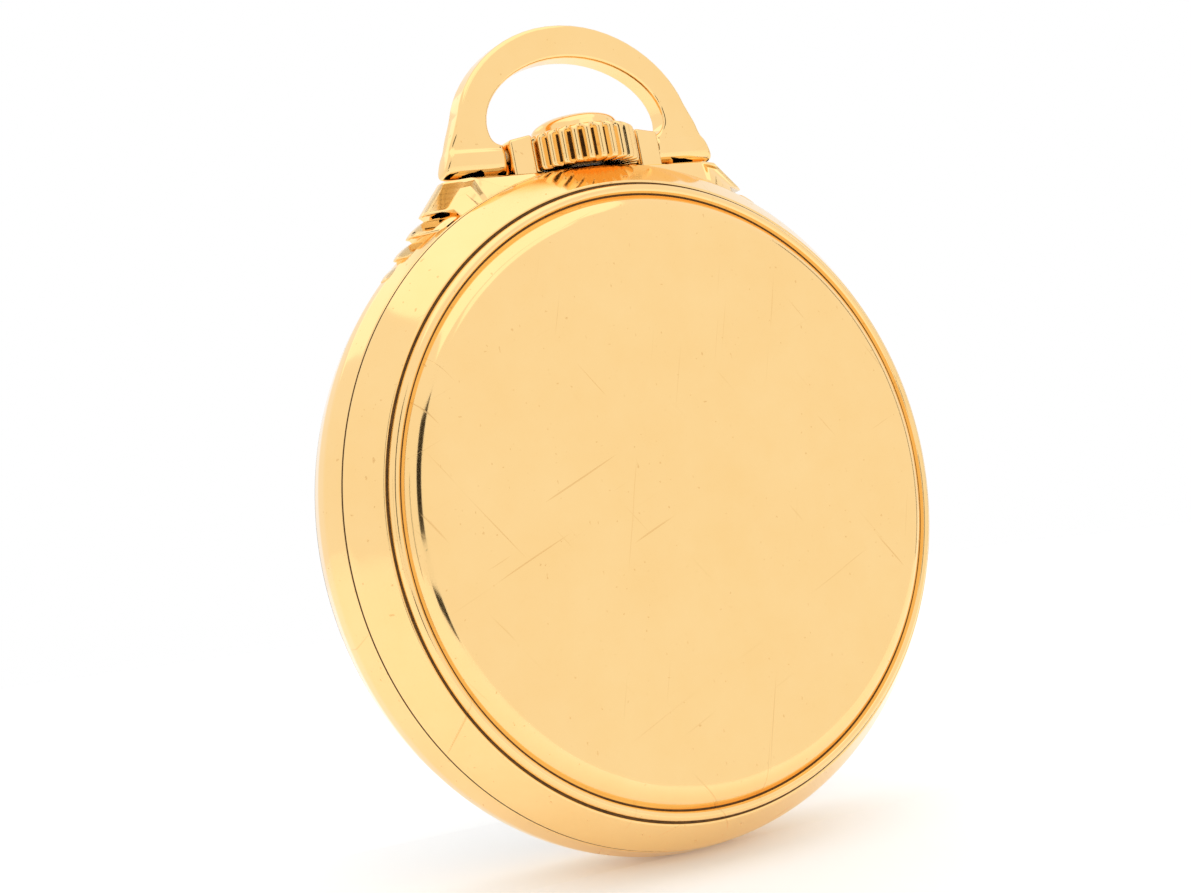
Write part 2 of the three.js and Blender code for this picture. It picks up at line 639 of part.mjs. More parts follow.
function balanceCock() {
  return cut(
    join(
      at(disc(2.1, PLATE_TOP + STAND, COCK_TOP), COCK_FOOT),
      bar(COCK_FOOT, BALANCE, 3.4, COCK_LOW, COCK_TOP),
      at(disc(2.6, COCK_LOW, COCK_TOP), BALANCE),
    ),
    pivotHole(BALANCE),
    jewelHole(BALANCE, COCK_TOP),
    screwHole(COCK_FOOT),
  );
}

const PALLET_BRIDGE_LOW = 0.75;

function palletBridge() {
  const across = bearing(ESCAPE, BALANCE) + Math.PI / 2;
  const ends = [3.2, -3.2].map((r) => ({
    x: PALLET.x + r * Math.cos(across), z: PALLET.z + r * Math.sin(across),
  }));
  const legTop = PALLET_BRIDGE_LOW + FIT;
  return cut(
    join(
      bar(ends[0], ends[1], 1.5, PALLET_BRIDGE_LOW, PALLET_BRIDGE_LOW + 0.45),
      ...ends.map((end) => at(disc(0.7, PLATE_TOP + STAND, legTop, 14), end)),
    ),
    pivotHole(PALLET),
  );
}

add('main_plate', mainPlate(), nickel);
add('barrel_bridge', barrelBridge(), nickel);
add('train_bridge', trainBridge(), nickel);
add('balance_cock', balanceCock(), nickel);
add('pallet_bridge', palletBridge(), nickel);

const JEWELS = { centre: CENTRE, third: THIRD, fourth: FOURTH, escape: ESCAPE };
for (const [name, place] of Object.entries(JEWELS)) {
  add(name + '_jewel', ring(PIVOT_HOLE, JEWEL_R, BRIDGE_TOP - JEWEL_DEEP, BRIDGE_TOP, 8), ruby, place);
}
add('balance_jewel', ring(PIVOT_HOLE, JEWEL_R, COCK_TOP - JEWEL_DEEP, COCK_TOP, 8), ruby, BALANCE);

// A slotted screw whose head sits on the given level and whose shank goes down to another.
function screw(headR, seat, headHigh, shankR, shankLow) {
  const slot = block(-headR, headR, seat + 0.55 * headHigh, seat + 2 * headHigh, -0.15, 0.15);
  return cut(turned([
    [0, shankLow], [shankR, shankLow], [shankR, seat], [headR, seat], [headR, seat + headHigh],
    [0, seat + headHigh],
  ], 10), slot);
}

const bridgeScrew = (seat) => screw(0.95, seat + STAND, 0.4, SCREW_SHANK, SHANK_LOW);
for (const i of [0, 1]) {
  const caseScrew = screw(1.2, PLATE_TOP + STAND, 0.5, SCREW_SHANK, SHANK_LOW);
  add('barrel_bridge_screw_' + (i + 1), bridgeScrew(BRIDGE_TOP), blued, BRIDGE_SCREWS[i]);
  add('train_bridge_screw_' + (i + 1), bridgeScrew(BRIDGE_TOP), blued, TRAIN_SCREWS[i]);
  add('case_screw_' + (i + 1), caseScrew, steel, CASE_SCREWS[i]);
}
add('balance_cock_screw', bridgeScrew(COCK_TOP), blued, COCK_FOOT);

// ---- barrel and winding work -------------------------------------------------------------------

const BARREL_PHASE = bearing(BARREL, CENTRE);
const BARREL_BORE = 1.05;
const SPIRAL_STEPS = 12;

// A flat spring wound in the XZ plane, from the inner to the outer radius.
function spiral(inner, outer, turns, thick, low, high) {
  const steps = turns * SPIRAL_STEPS;
  const side = (offset) => Array.from({ length: steps + 1 }, (_, i) => {
    const r = inner + ((outer - inner) * i) / steps + offset;
    const angle = (2 * Math.PI * i) / SPIRAL_STEPS;
    return new THREE.Vector2(r * Math.cos(angle), r * Math.sin(angle));
  });
  return slab(new THREE.Shape([...side(thick / 2), ...side(-thick / 2).reverse()]), low, high);
}

function barrel() {
  const flange = toothed(BARREL_TEETH, BARREL_MODULE, BARREL_PHASE);
  flange.holes.push(hole(BARREL_BORE));
  return join(slab(flange, 0, 0.5), ring(7.2, 7.7, 0.4, 1.8, 24));
}

function barrelArbor() {
  return turned([
    [0, -1.2], [0.55, -1.2], [0.55, -0.1], [0.92, -0.1], [0.92, 0.6], [1.7, 0.6], [1.7, 1.4],
    [0.92, 1.4], [0.92, 3.7], [0.75, 3.7], [0.75, WINDING_TOP], [0, WINDING_TOP],
  ], 12);
}

const RATCHET_PHASE = bearing(BARREL, CROWN_WHEEL);
const CROWN_WHEEL_PHASE = meshPhase(RATCHET_PHASE, RATCHET_TEETH, CROWN_TEETH, RATCHET_PHASE);

function ratchetWheel() {
  const shape = toothed(RATCHET_TEETH, WINDING_MODULE, RATCHET_PHASE);
  shape.holes.push(hole(0.82));
  return slab(shape, WINDING_LOW, WINDING_TOP);
}

// The crown wheel's skirt hangs through the bridge, down to just above the winding pinion.
function crownWheel() {
  const shape = toothed(CROWN_TEETH, WINDING_MODULE, CROWN_WHEEL_PHASE);
  shape.holes.push(hole(CORE_R + 0.12));
  const skirt = ring(2.8, 3.6, 2.05, WINDING_LOW + 0.1, 24);
  return join(slab(shape, WINDING_LOW, WINDING_TOP), skirt);
}

// The winding pinion turns on the stem, so its leaves are extruded along Z.
function windingPinion() {
  const settings = { depth: PINION_TOP - PINION_LOW, bevelEnabled: false };
  const body = new THREE.ExtrudeGeometry(toothed(14, 0.24, 0, true), settings);
  const bore = rodZ(STEM_R + FIT, PINION_LOW - 1, PINION_TOP + 1);
  return cut(body.translate(0, 0, PINION_LOW), bore);
}

// A sliding sleeve on the square of the stem, with a waist for the yoke's pin.
function clutch() {
  const high = PINION_LOW - 0.15;
  const waist = cut(rodZ(1.8, 16.5, 17.0, 16), rodZ(1.05, 16, 18, 16));
  return cut(rodZ(CLUTCH_R, CLUTCH_LOW, high), waist, rodZ(SQUARE_R + 0.1, 15, 18, 4));
}

const CLICK_TOP = WINDING_TOP - FIT;

// The click stops just short of the ratchet's teeth.
function click() {
  const tip = polar(5.55, 168, BARREL);
  return cut(
    join(
      at(disc(0.9, WINDING_LOW, CLICK_TOP, 16), CLICK_PIVOT),
      bar(CLICK_PIVOT, tip, 0.5, WINDING_LOW, CLICK_TOP),
    ),
    pivotHole(CLICK_PIVOT, POST_R + RIVET_GAP),
  );
}

add('barrel', barrel(), gilt, BARREL);
add('barrel_cover', ring(BARREL_BORE, 7.1, 1.5, 1.75, 24), gilt, BARREL);
add('mainspring', spiral(2.1, 6.9, 4, 0.35, 0.6, 1.4), steel, BARREL);
add('barrel_arbor', barrelArbor(), steel, BARREL);
add('ratchet_wheel', ratchetWheel(), steel, BARREL);
const windingScrew = (headR) =>
  screw(headR, WINDING_TOP + STAND, 0.3, SCREW_SHANK, WINDING_TOP + STAND / 2);
add('ratchet_screw', windingScrew(1.9), steel, BARREL);
add('crown_wheel', crownWheel(), steel, CROWN_WHEEL);
add('crown_wheel_screw', windingScrew(1.6), steel, CROWN_WHEEL);
add('winding_pinion', windingPinion(), steel);
add('clutch', clutch(), steel);
add('click', click(), steel);
add('click_screw', screw(0.75, WINDING_TOP, 0.3, POST_R, BRIDGE_LOW + 0.15), blued, CLICK_PIVOT);
const [springFoot, springTip] = [172, 200].map((angle) => polar(7.6, angle, BARREL));
add('click_spring', bar(springFoot, springTip, 0.35, WINDING_LOW, CLICK_TOP), blued);

// ---- going train -----------------------------------------------------------------------------------

const CENTRE_PHASE = bearing(CENTRE, THIRD);
const THIRD_PHASE = bearing(THIRD, FOURTH);
const FOURTH_PHASE = bearing(FOURTH, ESCAPE);
const ESCAPE_LOW = 0.3; // level of the escape wheel, the pallets and the roller
const ESCAPE_HIGH = 0.6;

function centreWheel() {
  const wheel = wheelAndPinion({
    wheel: { teeth: CENTRE_TEETH, module: CENTRE_MODULE, phase: CENTRE_PHASE, low: 2.15, high: 2.45 },
    pinion: {
      teeth: CENTRE_LEAVES, module: BARREL_MODULE, low: -0.15, high: 0.35,
      phase: meshPhase(BARREL_PHASE, BARREL_TEETH, CENTRE_LEAVES, BARREL_PHASE),
    },
  });
  return join(wheel, disc(0.4, -4.0, 0.1, 10));
}

function thirdWheel() {
  return wheelAndPinion({
    wheel: { teeth: THIRD_TEETH, module: THIRD_MODULE, phase: THIRD_PHASE, low: 0.42, high: 0.7 },
    pinion: {
      teeth: THIRD_LEAVES, module: CENTRE_MODULE, low: 1.95, high: 2.55,
      phase: meshPhase(CENTRE_PHASE, CENTRE_TEETH, THIRD_LEAVES, CENTRE_PHASE),
    },
  });
}

function fourthWheel() {
  const wheel = wheelAndPinion({
    wheel: { teeth: FOURTH_TEETH, module: FOURTH_MODULE, phase: FOURTH_PHASE, low: 1.4, high: 1.65 },
    pinion: {
      teeth: FOURTH_LEAVES, module: THIRD_MODULE, low: 0.2, high: 0.9,
      phase: meshPhase(THIRD_PHASE, THIRD_TEETH, FOURTH_LEAVES, THIRD_PHASE),
    },
  });
  return join(wheel, disc(PIVOT_R, -3.62, 0, 10));
}

// Club teeth that lean forward: each corner is a radius and an angle ahead of the tooth's root.
function escapeWheel() {
  const root = 2.45;
  const corners = [[root, 0], [ESCAPE_R, 0.14], [ESCAPE_R, 0.2], [root, 0.17]];
  const points = Array.from({ length: ESCAPE_TEETH }).flatMap((_, i) => corners.map(([r, lead]) => {
    const angle = (2 * Math.PI * i) / ESCAPE_TEETH + lead;
    return new THREE.Vector2(r * Math.cos(angle), r * Math.sin(angle));
  }));
  const shape = new THREE.Shape(points);
  const phase = meshPhase(FOURTH_PHASE, FOURTH_TEETH, ESCAPE_LEAVES, FOURTH_PHASE);
  return join(
    slab(crossings(shape, ARMS, 0.8, 2.1, 0.4), ESCAPE_LOW, ESCAPE_HIGH, 2),
    slab(toothed(ESCAPE_LEAVES, FOURTH_MODULE, phase, true), 1.25, 1.95),
    arbor(0.3),
  );
}

// Lever with a fork towards the balance and two stones that stop just short of the escape wheel.
function palletFork() {
  const ahead = THREE.MathUtils.radToDeg(bearing(PALLET, BALANCE));
  const stones = [1, -1].map((side) => polar(2.0, ahead + side * 105, PALLET));
  const level = (from, to, width) => bar(from, to, width, ESCAPE_LOW, ESCAPE_HIGH);
  return join(
    level(PALLET, towards(PALLET, BALANCE, 3.4), 0.5),
    ...stones.map((stone) => level(PALLET, stone, 0.6)),
    ...stones.map((stone) => level(stone, towards(ESCAPE, stone, ESCAPE_R + 0.45), 0.4)),
    at(arbor(0.28, ARBOR_LOW, 0.72), PALLET),
  );
}

const TIMING_SCREWS = 8;

// Rim with timing screws, two arms, staff and the small roller that the fork drives.
function balanceWheel() {
  const rim = { inner: 5.7, outer: 6.3, low: 1.9, high: 2.5 };
  const middle = (rim.low + rim.high) / 2;
  const screws = Array.from({ length: TIMING_SCREWS }, (_, i) =>
    rodX(0.28, rim.outer - 0.2, BALANCE_R, 0, 6)
      .rotateY(((i + 0.5) * 2 * Math.PI) / TIMING_SCREWS).translate(0, middle, 0));
  const armEnd = rim.inner + 0.2;
  return join(
    ring(rim.inner, rim.outer, rim.low, rim.high, 24),
    bar({ x: -armEnd, z: 0 }, { x: armEnd, z: 0 }, 0.8, rim.low + 0.1, rim.high - 0.2),
    arbor(0.35, ARBOR_LOW, COCK_LOW - END_SHAKE),
    disc(1.1, ESCAPE_LOW, ESCAPE_HIGH, 16),
    ...screws,
  );
}

function regulator() {
  const tip = towards(BALANCE, COCK_FOOT, 5.4);
  const low = COCK_TOP + FIT;
  return cut(
    join(at(disc(1.7, low, low + 0.2), BALANCE), bar(BALANCE, tip, 0.4, low, low + 0.15)),
    at(disc(JEWEL_R + 0.15, COCK_TOP - 0.4, THROUGH, 20), BALANCE),
  );
}

add('centre_wheel', centreWheel(), gilt);
add('third_wheel', thirdWheel(), gilt, THIRD);
add('fourth_wheel', fourthWheel(), gilt, FOURTH);
add('escape_wheel', escapeWheel(), steel, ESCAPE);
add('pallet_fork', palletFork(), steel);
add('balance_wheel', balanceWheel(), gilt, BALANCE);
add('hairspring', spiral(0.8, 2.9, 4, 0.1, 2.8, 3.05), blued, BALANCE);
add('regulator', regulator(), steel);

// ---- motion work, keyless work, dial and hands -------------------------------------------------------

const UP = Math.PI / 2;
const MOTION_LOW = -2.4; // minute wheel, cannon pinion and setting wheels, under the dial
const MOTION_TOP = -2.1;
const HOUR_LOW = -2.75;
const LEVER_LOW = -2.8; // setting lever and yoke
const LEVER_TOP = -2.45;
const POST_BORE = 0.42;
const CANNON_BORE = 0.45;
const CANNON_R = 0.75;
const HOUR_BORE = 0.85;
const HOUR_PIPE_R = 1.15;
const MINUTE_PHASE = meshPhase(UP, CANNON_TEETH, MINUTE_TEETH, UP);
const HOUR_PHASE = meshPhase(-UP, MINUTE_LEAVES, HOUR_TEETH, -UP);

function bored(shape, radius) {
  shape.holes.push(hole(radius));
  return shape;
}

const motionSlab = (shape, radius) => slab(bored(shape, radius), MOTION_LOW, MOTION_TOP);

function cannonPinion() {
  return join(
    motionSlab(toothed(CANNON_TEETH, MOTION_MODULE, UP, true), CANNON_BORE),
    ring(CANNON_BORE, CANNON_R, -4.25, MOTION_LOW + 0.1, 10),
  );
}

function minuteWheel() {
  return join(
    motionSlab(toothed(MINUTE_TEETH, MOTION_MODULE, MINUTE_PHASE), POST_BORE),
    slab(
      bored(toothed(MINUTE_LEAVES, MOTION_MODULE, -UP, true), POST_BORE),
      HOUR_LOW - FIT, MOTION_LOW + FIT,
    ),
  );
}

function hourWheel() {
  return join(
    slab(bored(toothed(HOUR_TEETH, MOTION_MODULE, HOUR_PHASE), HOUR_BORE), HOUR_LOW, LEVER_TOP),
    ring(HOUR_BORE, HOUR_PIPE_R, -3.8, HOUR_LOW + 0.15, 10),
  );
}

// A lever on the dial side whose pin reaches up into a groove of the winding work.
function leverWithPin(pivot, pin) {
  return cut(
    join(
      at(disc(0.85, LEVER_LOW, LEVER_TOP, 12), pivot),
      bar(pivot, pin, 0.6, LEVER_LOW, LEVER_TOP),
      at(disc(0.14, LEVER_LOW + 0.2, -0.2, 6), pin),
    ),
    pivotHole(pivot, POST_R + RIVET_GAP),
  );
}

const HAND_TAPER = 0.72; // share of a hand's length where its point begins

// A hand that points up at its own hub, turned clockwise by an angle in degrees.
function hand({ length, tail, width, hubR, boreR, low, high, angle }) {
  const shape = new THREE.Shape();
  shape.moveTo(-width / 2, -tail);
  shape.lineTo(width / 2, -tail);
  shape.lineTo(width / 2, HAND_TAPER * length);
  shape.lineTo(0, length);
  shape.lineTo(-width / 2, HAND_TAPER * length);
  shape.closePath();
  const blank = join(slab(shape, low, high), disc(hubR, low, high, 14));
  return cut(blank, disc(boreR, low - 1, high + 1, 10)).rotateY(deg(angle));
}

const DISPLAY_MINUTES = 9;
const DISPLAY_HOURS = 10 + DISPLAY_MINUTES / 60;
const SECONDS_ANGLE = 200;
const LEVER_PIN = { x: 0.64, z: 19.6 };
const YOKE_PIN = { x: -1.3, z: 16.75 };
const HOUR_HAND = {
  length: 10.6, tail: 0, width: 1.1, hubR: 1.9, boreR: 1.26,
  low: -3.75, high: -3.6, angle: DISPLAY_HOURS * 30,
};
const MINUTE_HAND = {
  length: 17.2, tail: 0, width: 0.9, hubR: 1.4, boreR: 0.83,
  low: -4.1, high: -3.95, angle: DISPLAY_MINUTES * 6,
};
const SECONDS_HAND = {
  length: 4.2, tail: 1.2, width: 0.3, hubR: 0.5, boreR: 0.26,
  low: -3.55, high: -3.45, angle: SECONDS_ANGLE,
};

function dial() {
  return cut(
    disc(DIAL_R, DIAL_LOW, DIAL_TOP, RIM_FACETS),
    disc(1.4, -THROUGH, 0, 20),
    at(disc(0.4, -THROUGH, 0, 12), FOURTH),
  );
}

add('cannon_pinion', cannonPinion(), steel);
add('minute_wheel', minuteWheel(), gilt, MINUTE);
add('hour_wheel', hourWheel(), gilt);
let settingPhase = meshPhase(MINUTE_PHASE, MINUTE_TEETH, SETTING_TEETH, UP);
for (const [i, name] of ['lower', 'upper'].entries()) {
  const wheel = motionSlab(toothed(SETTING_TEETH, MOTION_MODULE, settingPhase), POST_BORE);
  add('setting_wheel_' + name, wheel, steel, SETTING[i]);
  settingPhase = meshPhase(settingPhase, SETTING_TEETH, SETTING_TEETH, UP);
}
add('setting_lever', leverWithPin(LEVER_PIVOT, LEVER_PIN), steel);
add('yoke', leverWithPin(YOKE_PIVOT, YOKE_PIN), steel);
add('dial', dial(), enamel);
add('hour_hand', hand(HOUR_HAND), blued);
add('minute_hand', hand(MINUTE_HAND), blued);
add('seconds_hand', hand(SECONDS_HAND), blued, FOURTH);

const pocketWatch = new THREE.Group();
pocketWatch.add(watch);
export default pocketWatch;
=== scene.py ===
import math

import bmesh
import bpy
from mathutils import Matrix, Vector


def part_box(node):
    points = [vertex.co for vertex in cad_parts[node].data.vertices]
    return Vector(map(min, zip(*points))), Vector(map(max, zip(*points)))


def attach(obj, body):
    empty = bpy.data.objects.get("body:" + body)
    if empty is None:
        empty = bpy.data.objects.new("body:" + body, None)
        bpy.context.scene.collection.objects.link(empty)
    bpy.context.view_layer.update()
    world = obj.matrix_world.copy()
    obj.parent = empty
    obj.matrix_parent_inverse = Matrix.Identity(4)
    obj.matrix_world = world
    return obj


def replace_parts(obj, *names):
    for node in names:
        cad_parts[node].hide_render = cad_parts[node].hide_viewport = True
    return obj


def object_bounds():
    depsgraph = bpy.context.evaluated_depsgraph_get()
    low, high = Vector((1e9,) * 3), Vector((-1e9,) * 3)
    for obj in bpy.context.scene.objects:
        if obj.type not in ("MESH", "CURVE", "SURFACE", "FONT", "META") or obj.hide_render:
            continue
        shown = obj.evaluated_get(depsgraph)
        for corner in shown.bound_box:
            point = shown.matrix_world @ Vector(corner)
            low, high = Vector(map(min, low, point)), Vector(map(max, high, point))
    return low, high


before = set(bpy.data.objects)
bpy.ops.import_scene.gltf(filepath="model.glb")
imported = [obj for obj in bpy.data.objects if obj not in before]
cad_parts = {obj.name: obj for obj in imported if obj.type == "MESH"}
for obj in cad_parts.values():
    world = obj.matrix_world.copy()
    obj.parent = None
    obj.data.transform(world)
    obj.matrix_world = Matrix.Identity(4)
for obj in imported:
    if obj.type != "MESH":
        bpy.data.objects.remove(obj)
cad_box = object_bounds()

# ---- Case middle ------------------------------------------------------------------------------
# The band that everything screws to: one gold-filled turning with a low ridge round its edge, a
# threaded neck at each side, and a flat milled across its top for the pendant. It is turned and
# milled in one piece, then buffed.

MM = 0.001
cover_low, cover_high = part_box("back_cover")
WATCH_CENTRE = Vector(((cover_low.x + cover_high.x) / 2, 0, (cover_low.z + cover_high.z) / 2))
# A section is drawn with its axis upright, so this lays it along the watch's own axis, from front
# to back.
ON_WATCH_AXIS = Matrix.Translation(WATCH_CENTRE) @ Matrix.Rotation(math.radians(-90), 4, "X")
FLAT_TOP = 24.8  # height of the milled flat above the centre, in mm


def linear(colour):
    """An sRGB hex colour as linear RGBA."""
    channels = [int(colour[i:i + 2], 16) / 255 for i in (1, 3, 5)]
    return [c / 12.92 if c <= 0.04045 else ((c + 0.055) / 1.055) ** 2.4 for c in channels] + [1]


def add_node(tree, kind, settings, links):
    """A node with its settings by property or socket, and its links by socket."""
    node = tree.nodes.new(kind)
    for name, value in settings.items():
        if isinstance(name, int) or name in node.inputs:
            node.inputs[name].default_value = value
        else:
            setattr(node, name, value)
    for name, output in links.items():
        tree.links.new(output, node.inputs[name])
    return node


def turned(corners, steps=240):
    """A lathe turning round Z, from its section's corners: radius, height and rounding in mm."""
    bm = bmesh.new()
    section = [bm.verts.new((r, 0, h)) for r, h, _ in corners]
    bm.faces.new(section)
    for vert, (_, _, rounding) in zip(section, corners):
        if rounding:
            bmesh.ops.bevel(
                bm, geom=[vert], offset=rounding, affect="VERTICES", segments=4, profile=0.5,
                material=-1,
            )
    outline = [e for e in bm.edges if max(v.co.x for v in e.verts) > 1e-6]
    bmesh.ops.delete(bm, geom=bm.faces[:], context="FACES_ONLY")
    bmesh.ops.spin(
        bm, geom=outline + bm.verts[:], cent=(0, 0, 0), axis=(0, 0, 1), angle=math.tau,
        steps=steps, use_merge=True,
    )
    bmesh.ops.remove_doubles(bm, verts=bm.verts[:], dist=1e-4)
    loose = [v for v in bm.verts if not v.link_faces]
    bmesh.ops.delete(bm, geom=loose, context="VERTS")
    bmesh.ops.recalc_face_normals(bm, faces=bm.faces[:])
    bmesh.ops.scale(bm, vec=(MM, MM, MM), verts=bm.verts[:])
    return bm


def finished(name, bm, body, material):
    """A piece from its bmesh, smooth over its faces and crisp at its edges, riding on a body."""
    mesh = bpy.data.meshes.new(name)
    bm.to_mesh(mesh)
    bm.free()
    mesh.shade_smooth()
    mesh.set_sharp_from_angle(angle=math.radians(40))
    mesh.materials.append(material)
    piece = bpy.data.objects.new(name, mesh)
    bpy.context.scene.collection.objects.link(piece)
    shading = piece.modifiers.new("even shading", "WEIGHTED_NORMAL")
    shading.keep_sharp = True
    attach(piece, body)
    return piece


# Gold-filled case metal, rolled, spun and buffed by hand: a warm yellow mirror that ripples a few
# micrometres over 4 mm, with hairlines 0.1 mm wide, drawn wider than real ones so that they show,
# fine pits, and a duller bloom where fingers have touched it.
gold = bpy.data.materials.new("buffed_gold_filled_brass")
gold.use_nodes = True
tree = gold.node_tree
shader = tree.nodes["Principled BSDF"]
shader.inputs["Metallic"].default_value = 1
place = add_node(tree, "ShaderNodeTexCoord", {}, {}).outputs["Object"]
ripple = add_node(tree, "ShaderNodeTexNoise", {"Scale": 230, "Detail": 1}, {"Vector": place})
bloom = add_node(
    tree, "ShaderNodeTexNoise", {"Scale": 160, "Detail": 5, "Roughness": 0.65}, {"Vector": place}
)
pits = add_node(tree, "ShaderNodeTexNoise", {"Scale": 3200, "Detail": 0}, {"Vector": place})
pit_mask = add_node(
    tree, "ShaderNodeMapRange", {"From Min": 0.80, "From Max": 0.84}, {"Value": pits.outputs["Fac"]}
)
scratches = pit_mask.outputs["Result"]
for turn, coarse in ((0.35, 90), (1.25, 70), (2.2, 110)):
    along = add_node(
        tree, "ShaderNodeMapping",
        {
            "vector_type": "TEXTURE", "Rotation": (0, turn, 0),
            "Scale": (1 / coarse, 1 / 60, 1 / 4200),
        },
        {"Vector": place},
    )
    lines = add_node(
        tree, "ShaderNodeTexNoise", {"Scale": 1, "Detail": 1, "Distortion": 0.15},
        {"Vector": along.outputs["Vector"]},
    )
    line_mask = add_node(
        tree, "ShaderNodeMapRange", {"From Min": 0.75, "From Max": 0.8},
        {"Value": lines.outputs["Fac"]},
    )
    scratches = add_node(
        tree, "ShaderNodeMath", {"operation": "MAXIMUM"},
        {0: scratches, 1: line_mask.outputs["Result"]},
    ).outputs["Value"]
tone = add_node(
    tree, "ShaderNodeMix", {"data_type": "RGBA", 6: linear("#ffdb9c"), 7: linear("#fbd08a")},
    {"Factor": bloom.outputs["Fac"]},
)
scratch_share = add_node(
    tree, "ShaderNodeMath", {"operation": "MULTIPLY", 1: 0.3}, {0: scratches}
)
colour = add_node(
    tree, "ShaderNodeMix", {"data_type": "RGBA", 7: linear("#c98f45")},
    {"Factor": scratch_share.outputs["Value"], 6: tone.outputs[2]},
)
tree.links.new(colour.outputs[2], shader.inputs["Base Color"])
dullness = add_node(
    tree, "ShaderNodeMapRange",
    {"From Min": 0.35, "From Max": 0.7, "To Min": 0.07, "To Max": 0.14},
    {"Value": bloom.outputs["Fac"]},
)
roughness = add_node(
    tree, "ShaderNodeMath", {"operation": "MULTIPLY_ADD", 1: 0.22},
    {0: scratches, 2: dullness.outputs["Result"]},
)
tree.links.new(roughness.outputs["Value"], shader.inputs["Roughness"])
swell = add_node(
    tree, "ShaderNodeBump", {"Strength": 1, "Distance": 0.00004},
    {"Height": ripple.outputs["Fac"]},
)
cuts = add_node(
    tree, "ShaderNodeBump", {"Strength": 0.5, "Distance": 0.000003, "invert": True},
    {"Height": scratches, "Normal": swell.outputs["Normal"]},
)
tree.links.new(cuts.outputs["Normal"], shader.inputs["Normal"])

middle = turned([
    (24.92, -2.33, 0.16), (25.4, -0.5, 0.2), (25.4, 0.5, 0.2), (24.92, 2.33, 0.16),
    (22.5, 2.33, 0), (22.45, 4, 0.1), (21.7, 4, 0.1), (21.7, -3.6, 0.1), (22.45, -3.6, 0.1),
    (22.5, -2.33, 0),
])
bmesh.ops.transform(middle, matrix=ON_WATCH_AXIS, verts=middle.verts[:])
milled = bmesh.ops.bisect_plane(
    middle, geom=middle.verts[:] + middle.edges[:] + middle.faces[:], dist=1e-7,
    plane_co=WATCH_CENTRE + Vector((0, 0, FLAT_TOP * MM)), plane_no=(0, 0, 1), clear_outer=True,
)
bmesh.ops.edgeloop_fill(
    middle, edges=[e for e in milled["geom_cut"] if isinstance(e, bmesh.types.BMEdge)]
)
case_middle = finished("case_middle", middle, "case", gold)
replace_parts(case_middle, "case_band")

# ---- Shoulders --------------------------------------------------------------------------------
# The two shoulders that swell out of the band to carry the bow: a wide chamfered rib under the
# flat top and three narrower ones below it, lapped like shingles. They are stamped with the
# middle and filed sharp, so each rib's lower end stands proud of the next one's head.

WALL_LINE = (Vector((11.9, FLAT_TOP)), Vector((17.8, 18.2)))
RIDGE_LINE = (Vector((9.7, FLAT_TOP)), Vector((16.6, 18.2)))
RIBS = (0, 0.36, 0.58, 0.79, 1)
LAP = 0.34  # how far a rib's head lies under the rib above
SEAM_CIRCLE = 24.77


def rib_section(share, sunk, inward=1.0):
    """The eight corners of a cut across a shoulder, for the part right of the centre line."""
    out = Vector((0.745, 0.667)) * sunk
    wall = WALL_LINE[0].lerp(WALL_LINE[1], share) - out
    ridge = RIDGE_LINE[0].lerp(RIDGE_LINE[1], share) - out * 0.8
    wall.x *= inward
    ridge.x *= inward
    seam = ridge.normalized() * min(SEAM_CIRCLE, ridge.length)
    if inward < 1:
        seam = Vector((ridge.x * 0.93, math.sqrt(SEAM_CIRCLE ** 2 - (ridge.x * 0.93) ** 2)))
    root = seam.normalized() * 22.9
    half = [(wall, 0.5), (ridge, 1.6 - 0.25 * sunk), (seam, 2.28), (root, 2.28)]
    return [Vector((p.x, y, p.y)) for p, y in half] + [
        Vector((p.x, -y, p.y)) for p, y in reversed(half)
    ]


def set_on_watch(bm):
    """Takes a piece drawn in mm about the watch's centre to its size and place."""
    bmesh.ops.scale(bm, vec=(MM, MM, MM), verts=bm.verts[:])
    bmesh.ops.translate(bm, vec=WATCH_CENTRE, verts=bm.verts[:])


shoulders = bmesh.new()
for rib, (head, foot) in enumerate(zip(RIBS, RIBS[1:])):
    cuts_across = [rib_section(0, 0, inward) for inward in (0, 0.3, 0.6, 0.85)] if rib == 0 else []
    for k in range(7):
        sunk = 0 if rib == 0 else LAP * max(0, 1 - k / 4.5) ** 1.6
        cuts_across.append(rib_section(head + (foot - head - 0.012) * k / 6, sunk))
    end = shoulders.faces.new([shoulders.verts.new(corner) for corner in cuts_across[0]])
    for before, after in zip(cuts_across, cuts_across[1:]):
        grown = bmesh.ops.extrude_face_region(shoulders, geom=[end])["geom"]
        for vert in (v for v in grown if isinstance(v, bmesh.types.BMVert)):
            nearest = min(range(8), key=lambda i: (before[i] - vert.co).length)
            vert.co = after[nearest]
        end = next(f for f in grown if isinstance(f, bmesh.types.BMFace))
middle_faces = [f for f in shoulders.faces if max(abs(v.co.x) for v in f.verts) < 1e-6]
bmesh.ops.delete(shoulders, geom=middle_faces, context="FACES_ONLY")
bmesh.ops.mirror(
    shoulders, geom=shoulders.verts[:] + shoulders.edges[:] + shoulders.faces[:], axis="X",
    merge_dist=1e-4,
)
bmesh.ops.remove_doubles(shoulders, verts=shoulders.verts[:], dist=1e-4)
bmesh.ops.recalc_face_normals(shoulders, faces=shoulders.faces[:])
arrises = [
    e for e in shoulders.edges
    if len(e.link_faces) == 2 and e.calc_face_angle() > math.radians(28)
]
bmesh.ops.bevel(
    shoulders, geom=arrises, offset=0.22, affect="EDGES", segments=4, profile=0.5, material=-1,
    clamp_overlap=True,
)
set_on_watch(shoulders)
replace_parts(finished("case_shoulders", shoulders, "case", gold), "case_band")

# ---- Ears -------------------------------------------------------------------------------------
# Two square lugs brazed to the flat top, one each side of the crown, that hold the pins of the
# bow. Their tops are filed down a little outwards and every edge is eased.

